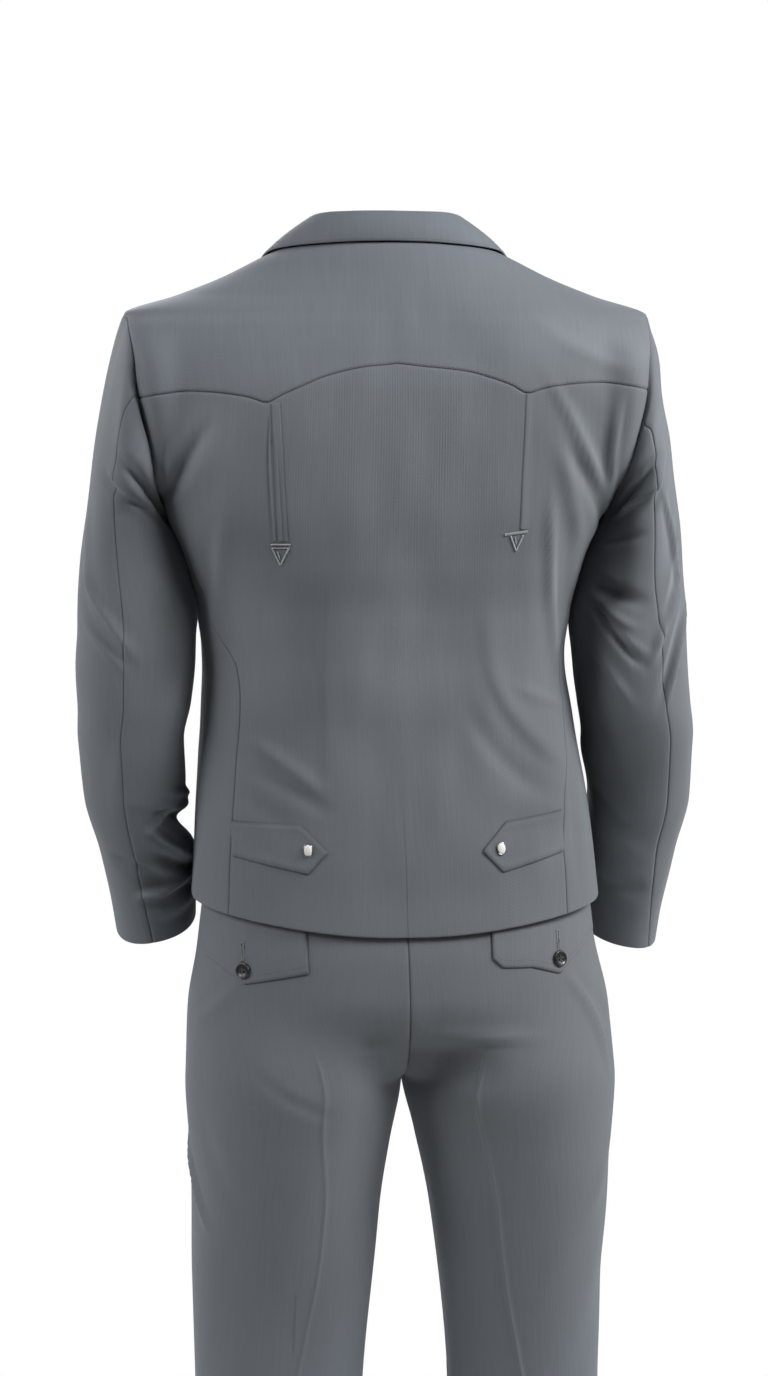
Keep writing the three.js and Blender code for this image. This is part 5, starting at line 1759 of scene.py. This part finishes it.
class SUIT_OT_waistband(bpy.types.Operator):
    """Waistband, its button and the fly"""

    bl_idname = "suit.waistband"
    bl_label = "Waistband and fly"

    def execute(self, context):
        turn = mix(-math.pi + 0.0015, math.pi - 0.0015, shares(860, 4.4))[None, :]
        z = mix(WAIST_TOP_Z, WAIST_TOP_Z - WAISTBAND, shares(40, 3.0))[:, None]
        base = section(SEAT, turn, z)
        band = Panel("waistband_cloth", base, from_axis(base), lift=0.4, wall=TROUSER_WALL + 0.4)
        stitched = [("top", EDGE_STITCH), ("bottom", EDGE_STITCH)]
        dress(band, "trouser_suiting", "waistband", context, stitched=stitched)
        x, z = np.meshgrid((10.0, 12.0, 14.0), (-516.0, -518.0, -520.0))
        at = section(SEAT, turn_at(SEAT, x, z, True), z)
        facing = normals(at, from_axis(at))[1, 1]
        button_on("waistband_button_disc", at[1, 1] + facing * 0.85, facing, 1, "waistband_button", context)
        x = mix(0.6, 38, shares(38, 2.4))
        foot = np.interp(x, (0.4, 12, 30, 38), (-703, -700, -683, -655))
        z = mix(-541, foot, shares(150, 4.0)[:, None])
        lift = LAID_LIFT + EDGING_WALL
        x = x[None, :] + 0 * z
        fly = laid_on_trousers("fly_cloth", x, z, 1, folding(context), True, EDGING_WALL, lift)
        stitched = [("right", 3.0), ("bottom", 3.0)]
        dress(fly, "trouser_suiting", "trouser_fly", context, ["trouser_front_left_cloth"], stitched)
        return {"FINISHED"}


class SUIT_OT_pockets(bpy.types.Operator):
    """Back pocket flaps with their buttons, and the slanted side pockets"""

    bl_idname = "suit.pockets"
    bl_label = "Pockets"

    def execute(self, context):
        strength = folding(context)
        # The flap's edges are sunk a little and painted darker, as painted shadow under them.
        seams = {"left": 0.6, "bottom": 0.6, "right": 0.4}
        for name, side in SIDES.items():
            cut, (button_x, button_z) = FLAP[name], FLAP_BUTTON[name]
            x = mix(cut["x"][0], cut["x"][-1], shares(96, 2.6))
            z = mix(-598, straight(cut, "foot", x), shares(55, 2.6)[:, None])
            flap = laid_on_trousers("flap_" + name, x[None, :] + 0 * z, z, side, strength, seams=seams)
            stitched = [("bottom", EDGE_STITCH), ("left", EDGE_STITCH), ("bottom", 7.0)]
            back = f"trouser_back_{name}_cloth"
            dress(flap, "trouser_suiting", "pocket_flap_" + name, context, [back], stitched)
            centre, facing = spot(laid_on_trousers, button_x, button_z, side, strength)
            centre = centre + facing * 0.1
            button_on("flap_button_disc_" + name, centre, facing, side, "flap_button_" + name, context)
            strokes = [
                (button_x + x0, button_z + z0, button_x + x1, button_z + z1, wide)
                for x0, z0, x1, z1, wide in BUTTONHOLE_STROKES
            ]
            rows = embroidered(laid_on_trousers, strokes, LAID_LIFT + 1.9, 0.6, side, strength)
            thread = finish_of("buttonhole_thread", context)
            threads("buttonhole_" + name, rows, SATIN, thread, side, "tack_thread")
            t = shares(155, 3.0)[:, None]
            x = mix(mix(118, 166, t), mix(132, 178, t), shares(14, 1.6)[None, :])
            z, lift = mix(-543, -690, t) + 0 * x, LAID_LIFT + EDGING_WALL
            welt = laid_on_trousers("pocket_edge_" + name, x, z, side, strength, True, EDGING_WALL, lift)
            front = f"trouser_front_{name}_cloth"
            dress(welt, "trouser_suiting", "side_pocket_" + name, context, [front], [("left", 2.4)])
        return {"FINISHED"}


class SUIT_OT_stage(bpy.types.Operator):
    """Plain pale floor, soft lights and the camera"""

    bl_idname = "suit.stage"
    bl_label = "Stage"

    # Soft round lamps: where each stands, where it points, how wide it is and its share of the key power.
    LAMPS = {
        "key": ((-2.2, 1.0, 1.2), (0, 0, -0.2), 1.0, 0.75),
        "key_low": ((-1.6, 1.5, 1.3), (0, 0, -0.2), 1.0, 0.3),
        "left": ((2.2, 1.0, 0.9), (0, 0, -0.2), 1.0, 0.35),
        "flank_right": ((-3.2, 0.2, 0.5), (0, 0, -0.4), 1.2, 0.26),
        "flank_left": ((3.2, 0.2, 0.5), (0, 0, -0.4), 1.2, 0.28),
        "rim_right": ((-2.2, -1.9, 0.3), (0, 0, -0.5), 1.4, 0.12),
        "rim_left": ((2.2, -1.9, 0.3), (0, 0, -0.5), 1.4, 0.18),
        "behind_camera": ((-0.4, 2.6, 1.2), (0, 0, -0.4), 1.2, 0.05),
        "front": ((0.9, -2.9, 0.9), (0, 0, -0.5), 1.4, 0.4),
    }
    SPOKES, RINGS = 96, 25
    FLOOR_GAP = 0.0015
    LENS, SENSOR = 84.375, 36
    DISTANCE, TURN, TILT, EYE_Z = 3, math.radians(175), math.radians(4.22), -0.187

    def floor(self, stage):
        """A round floor just under the trouser hems."""
        floor_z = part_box("trouser_back_left")[0].z - self.FLOOR_GAP
        angle = np.arange(self.SPOKES) * 2 * math.pi / self.SPOKES
        r = (np.linspace(0.0005, 1, self.RINGS) ** 0.8 * stage.floor_radius)[:, None]
        points = point(r * np.cos(angle), r * np.sin(angle), floor_z).reshape(-1, 3)
        at = np.arange(self.RINGS * self.SPOKES).reshape(self.RINGS, self.SPOKES)
        faces = quads(at, True)[:, [0, 3, 2, 1]]
        new_object("floor", points, faces, floor_finish("floor_matt", stage.floor_colour))

    def room(self, scene, strength):
        """White behind everything, and a faint cool light from all round."""
        world = bpy.data.worlds.new("studio")
        scene.world = world
        world.use_nodes = True
        tree = world.node_tree
        seen = tree.nodes["Background"]
        seen.inputs["Color"].default_value = (1, 1, 1, 1)
        seen.inputs["Strength"].default_value = 1.0
        fill = node(tree, "ShaderNodeBackground", Strength=strength, Color=(0.93, 0.965, 1.0, 1))
        ray = node(tree, "ShaderNodeLightPath").outputs["Is Camera Ray"]
        chosen = node(tree, "ShaderNodeMixShader", [(0, ray), (1, fill.outputs[0]), (2, seen.outputs[0])])
        tree.links.new(chosen.outputs[0], tree.nodes["World Output"].inputs["Surface"])

    def lamps(self, scene, key_power):
        for name, (place, aim, size, share) in self.LAMPS.items():
            light = bpy.data.lights.new(name, "AREA")
            light.shape, light.size, light.energy = "DISK", size, key_power * share
            lamp = bpy.data.objects.new(name, light)
            lamp.location = place
            lamp.rotation_euler = (Vector(aim) - Vector(place)).to_track_quat("-Z", "Y").to_euler()
            scene.collection.objects.link(lamp)

    def camera(self, scene):
        """Behind the wearer, a little to their right and looking slightly down."""
        camera = bpy.data.cameras.new("camera")
        camera.lens, camera.sensor_width, camera.sensor_fit = self.LENS, self.SENSOR, "AUTO"
        eye = bpy.data.objects.new("camera", camera)
        s, c = math.sin(self.TURN), math.cos(self.TURN)
        eye.location = (self.DISTANCE * s, -self.DISTANCE * c, self.EYE_Z)
        ahead = Vector((-s * math.cos(self.TILT), c * math.cos(self.TILT), -math.sin(self.TILT)))
        eye.rotation_euler = ahead.to_track_quat("-Z", "Y").to_euler()
        scene.collection.objects.link(eye)
        scene.camera = eye

    def execute(self, context):
        scene, stage = context.scene, context.scene.suit_stage
        self.floor(stage)
        self.room(scene, stage.room_light)
        self.lamps(scene, stage.key_power)
        scene.view_settings.view_transform = "Standard"
        self.camera(scene)
        return {"FINISHED"}


# ---- settings and sidebar ------------------------------------------------------------------


def colour_property(name, description, default):
    return bpy.props.FloatVectorProperty(
        name=name, description=description, subtype="COLOR", size=3, min=0, max=1, default=default[:3]
    )


class SuitCloth(bpy.types.PropertyGroup):
    colour: colour_property("Colour", "Colour of the suiting", SLOT_COLOUR["suit_cloth"])
    rib_spacing: bpy.props.FloatProperty(
        name="Rib spacing", description="From one rib of the cloth to the next",
        default=0.0024, min=0.0005, unit="LENGTH",
    )
    rib_depth: bpy.props.FloatProperty(
        name="Rib depth", description="How deep the ribs look", default=0.00016, min=0, unit="LENGTH"
    )
    rib_shade: bpy.props.FloatProperty(
        name="Rib shade", description="How much darker the cloth is between its ribs",
        default=0.05, min=0, max=1, subtype="FACTOR",
    )
    roughness: bpy.props.FloatProperty(
        name="Roughness", description="How matt the cloth is", default=0.78, min=0, max=1, subtype="FACTOR"
    )
    sheen: bpy.props.FloatProperty(
        name="Sheen", description="Soft light along the cloth's edges",
        default=0.22, min=0, max=1, subtype="FACTOR",
    )
    fold_strength: bpy.props.FloatProperty(
        name="Fold strength", description="1 for the folds of the worn suit, 0 for smooth panels",
        default=1.0, min=0, max=2,
    )


class SuitTrim(bpy.types.PropertyGroup):
    thread_colour: colour_property("Arrow thread", "Embroidery of the arrowheads", SLOT_COLOUR["tack_thread"])
    metal_colour: colour_property("Snap metal", "Rims of the snaps", SLOT_COLOUR["snap_metal"])
    pearl_colour: colour_property("Pearl", "Caps of the snaps", SLOT_COLOUR["snap_pearl"])
    button_colour: colour_property("Buttons", "Buttons of the trousers", SLOT_COLOUR["dark_button"])
    stitch_pitch: bpy.props.FloatProperty(
        name="Stitch pitch", description="From one topstitch to the next",
        default=0.0033, min=0.001, unit="LENGTH",
    )


class SuitStage(bpy.types.PropertyGroup):
    floor_colour: colour_property("Floor", "Colour of the floor", (0.86, 0.86, 0.86))
    floor_radius: bpy.props.FloatProperty(
        name="Floor radius", description="Size of the round floor", default=1.45, min=0.5, unit="LENGTH"
    )
    key_power: bpy.props.FloatProperty(
        name="Key light", description="Power of the main light", default=95, min=0, subtype="POWER"
    )
    room_light: bpy.props.FloatProperty(
        name="Room light", description="Strength of the soft light from all round", default=0.02, min=0
    )


class SUIT_PT_sidebar(bpy.types.Panel):
    """Builds the suit piece by piece"""

    bl_idname = "SUIT_PT_sidebar"
    bl_label = "Western suit"
    bl_space_type = "VIEW_3D"
    bl_region_type = "UI"
    bl_category = "Suit"

    def draw(self, context):
        for name, title in (("suit_cloth", "Cloth"), ("suit_trim", "Trim"), ("suit_stage", "Stage")):
            box = self.layout.box()
            box.label(text=title)
            for setting in getattr(context.scene, name).bl_rna.properties:
                if setting.identifier not in ("rna_type", "name"):
                    box.prop(getattr(context.scene, name), setting.identifier)
        for operator in OPERATORS:
            self.layout.operator(operator.bl_idname)


OPERATORS = (
    SUIT_OT_jacket_body,
    SUIT_OT_collar,
    SUIT_OT_lapels,
    SUIT_OT_sleeves,
    SUIT_OT_action_pleats,
    SUIT_OT_waist_tabs,
    SUIT_OT_front_snaps,
    SUIT_OT_trouser_legs,
    SUIT_OT_waistband,
    SUIT_OT_pockets,
    SUIT_OT_stage,
)
SETTINGS = {"suit_cloth": SuitCloth, "suit_trim": SuitTrim, "suit_stage": SuitStage}


def register():
    for kind in (*SETTINGS.values(), *OPERATORS, SUIT_PT_sidebar):
        bpy.utils.register_class(kind)
    for name, kind in SETTINGS.items():
        setattr(bpy.types.Scene, name, bpy.props.PointerProperty(type=kind))


def unregister():
    for name in SETTINGS:
        delattr(bpy.types.Scene, name)
    for kind in reversed((*SETTINGS.values(), *OPERATORS, SUIT_PT_sidebar)):
        bpy.utils.unregister_class(kind)


def main():
    register()
    bpy.ops.suit.jacket_body()
    bpy.ops.suit.collar()
    bpy.ops.suit.lapels()
    bpy.ops.suit.sleeves()
    bpy.ops.suit.action_pleats()
    bpy.ops.suit.waist_tabs()
    bpy.ops.suit.front_snaps()
    bpy.ops.suit.trouser_legs()
    bpy.ops.suit.waistband()
    bpy.ops.suit.pockets()
    bpy.ops.suit.stage()


if __name__ == "__main__":
    main()
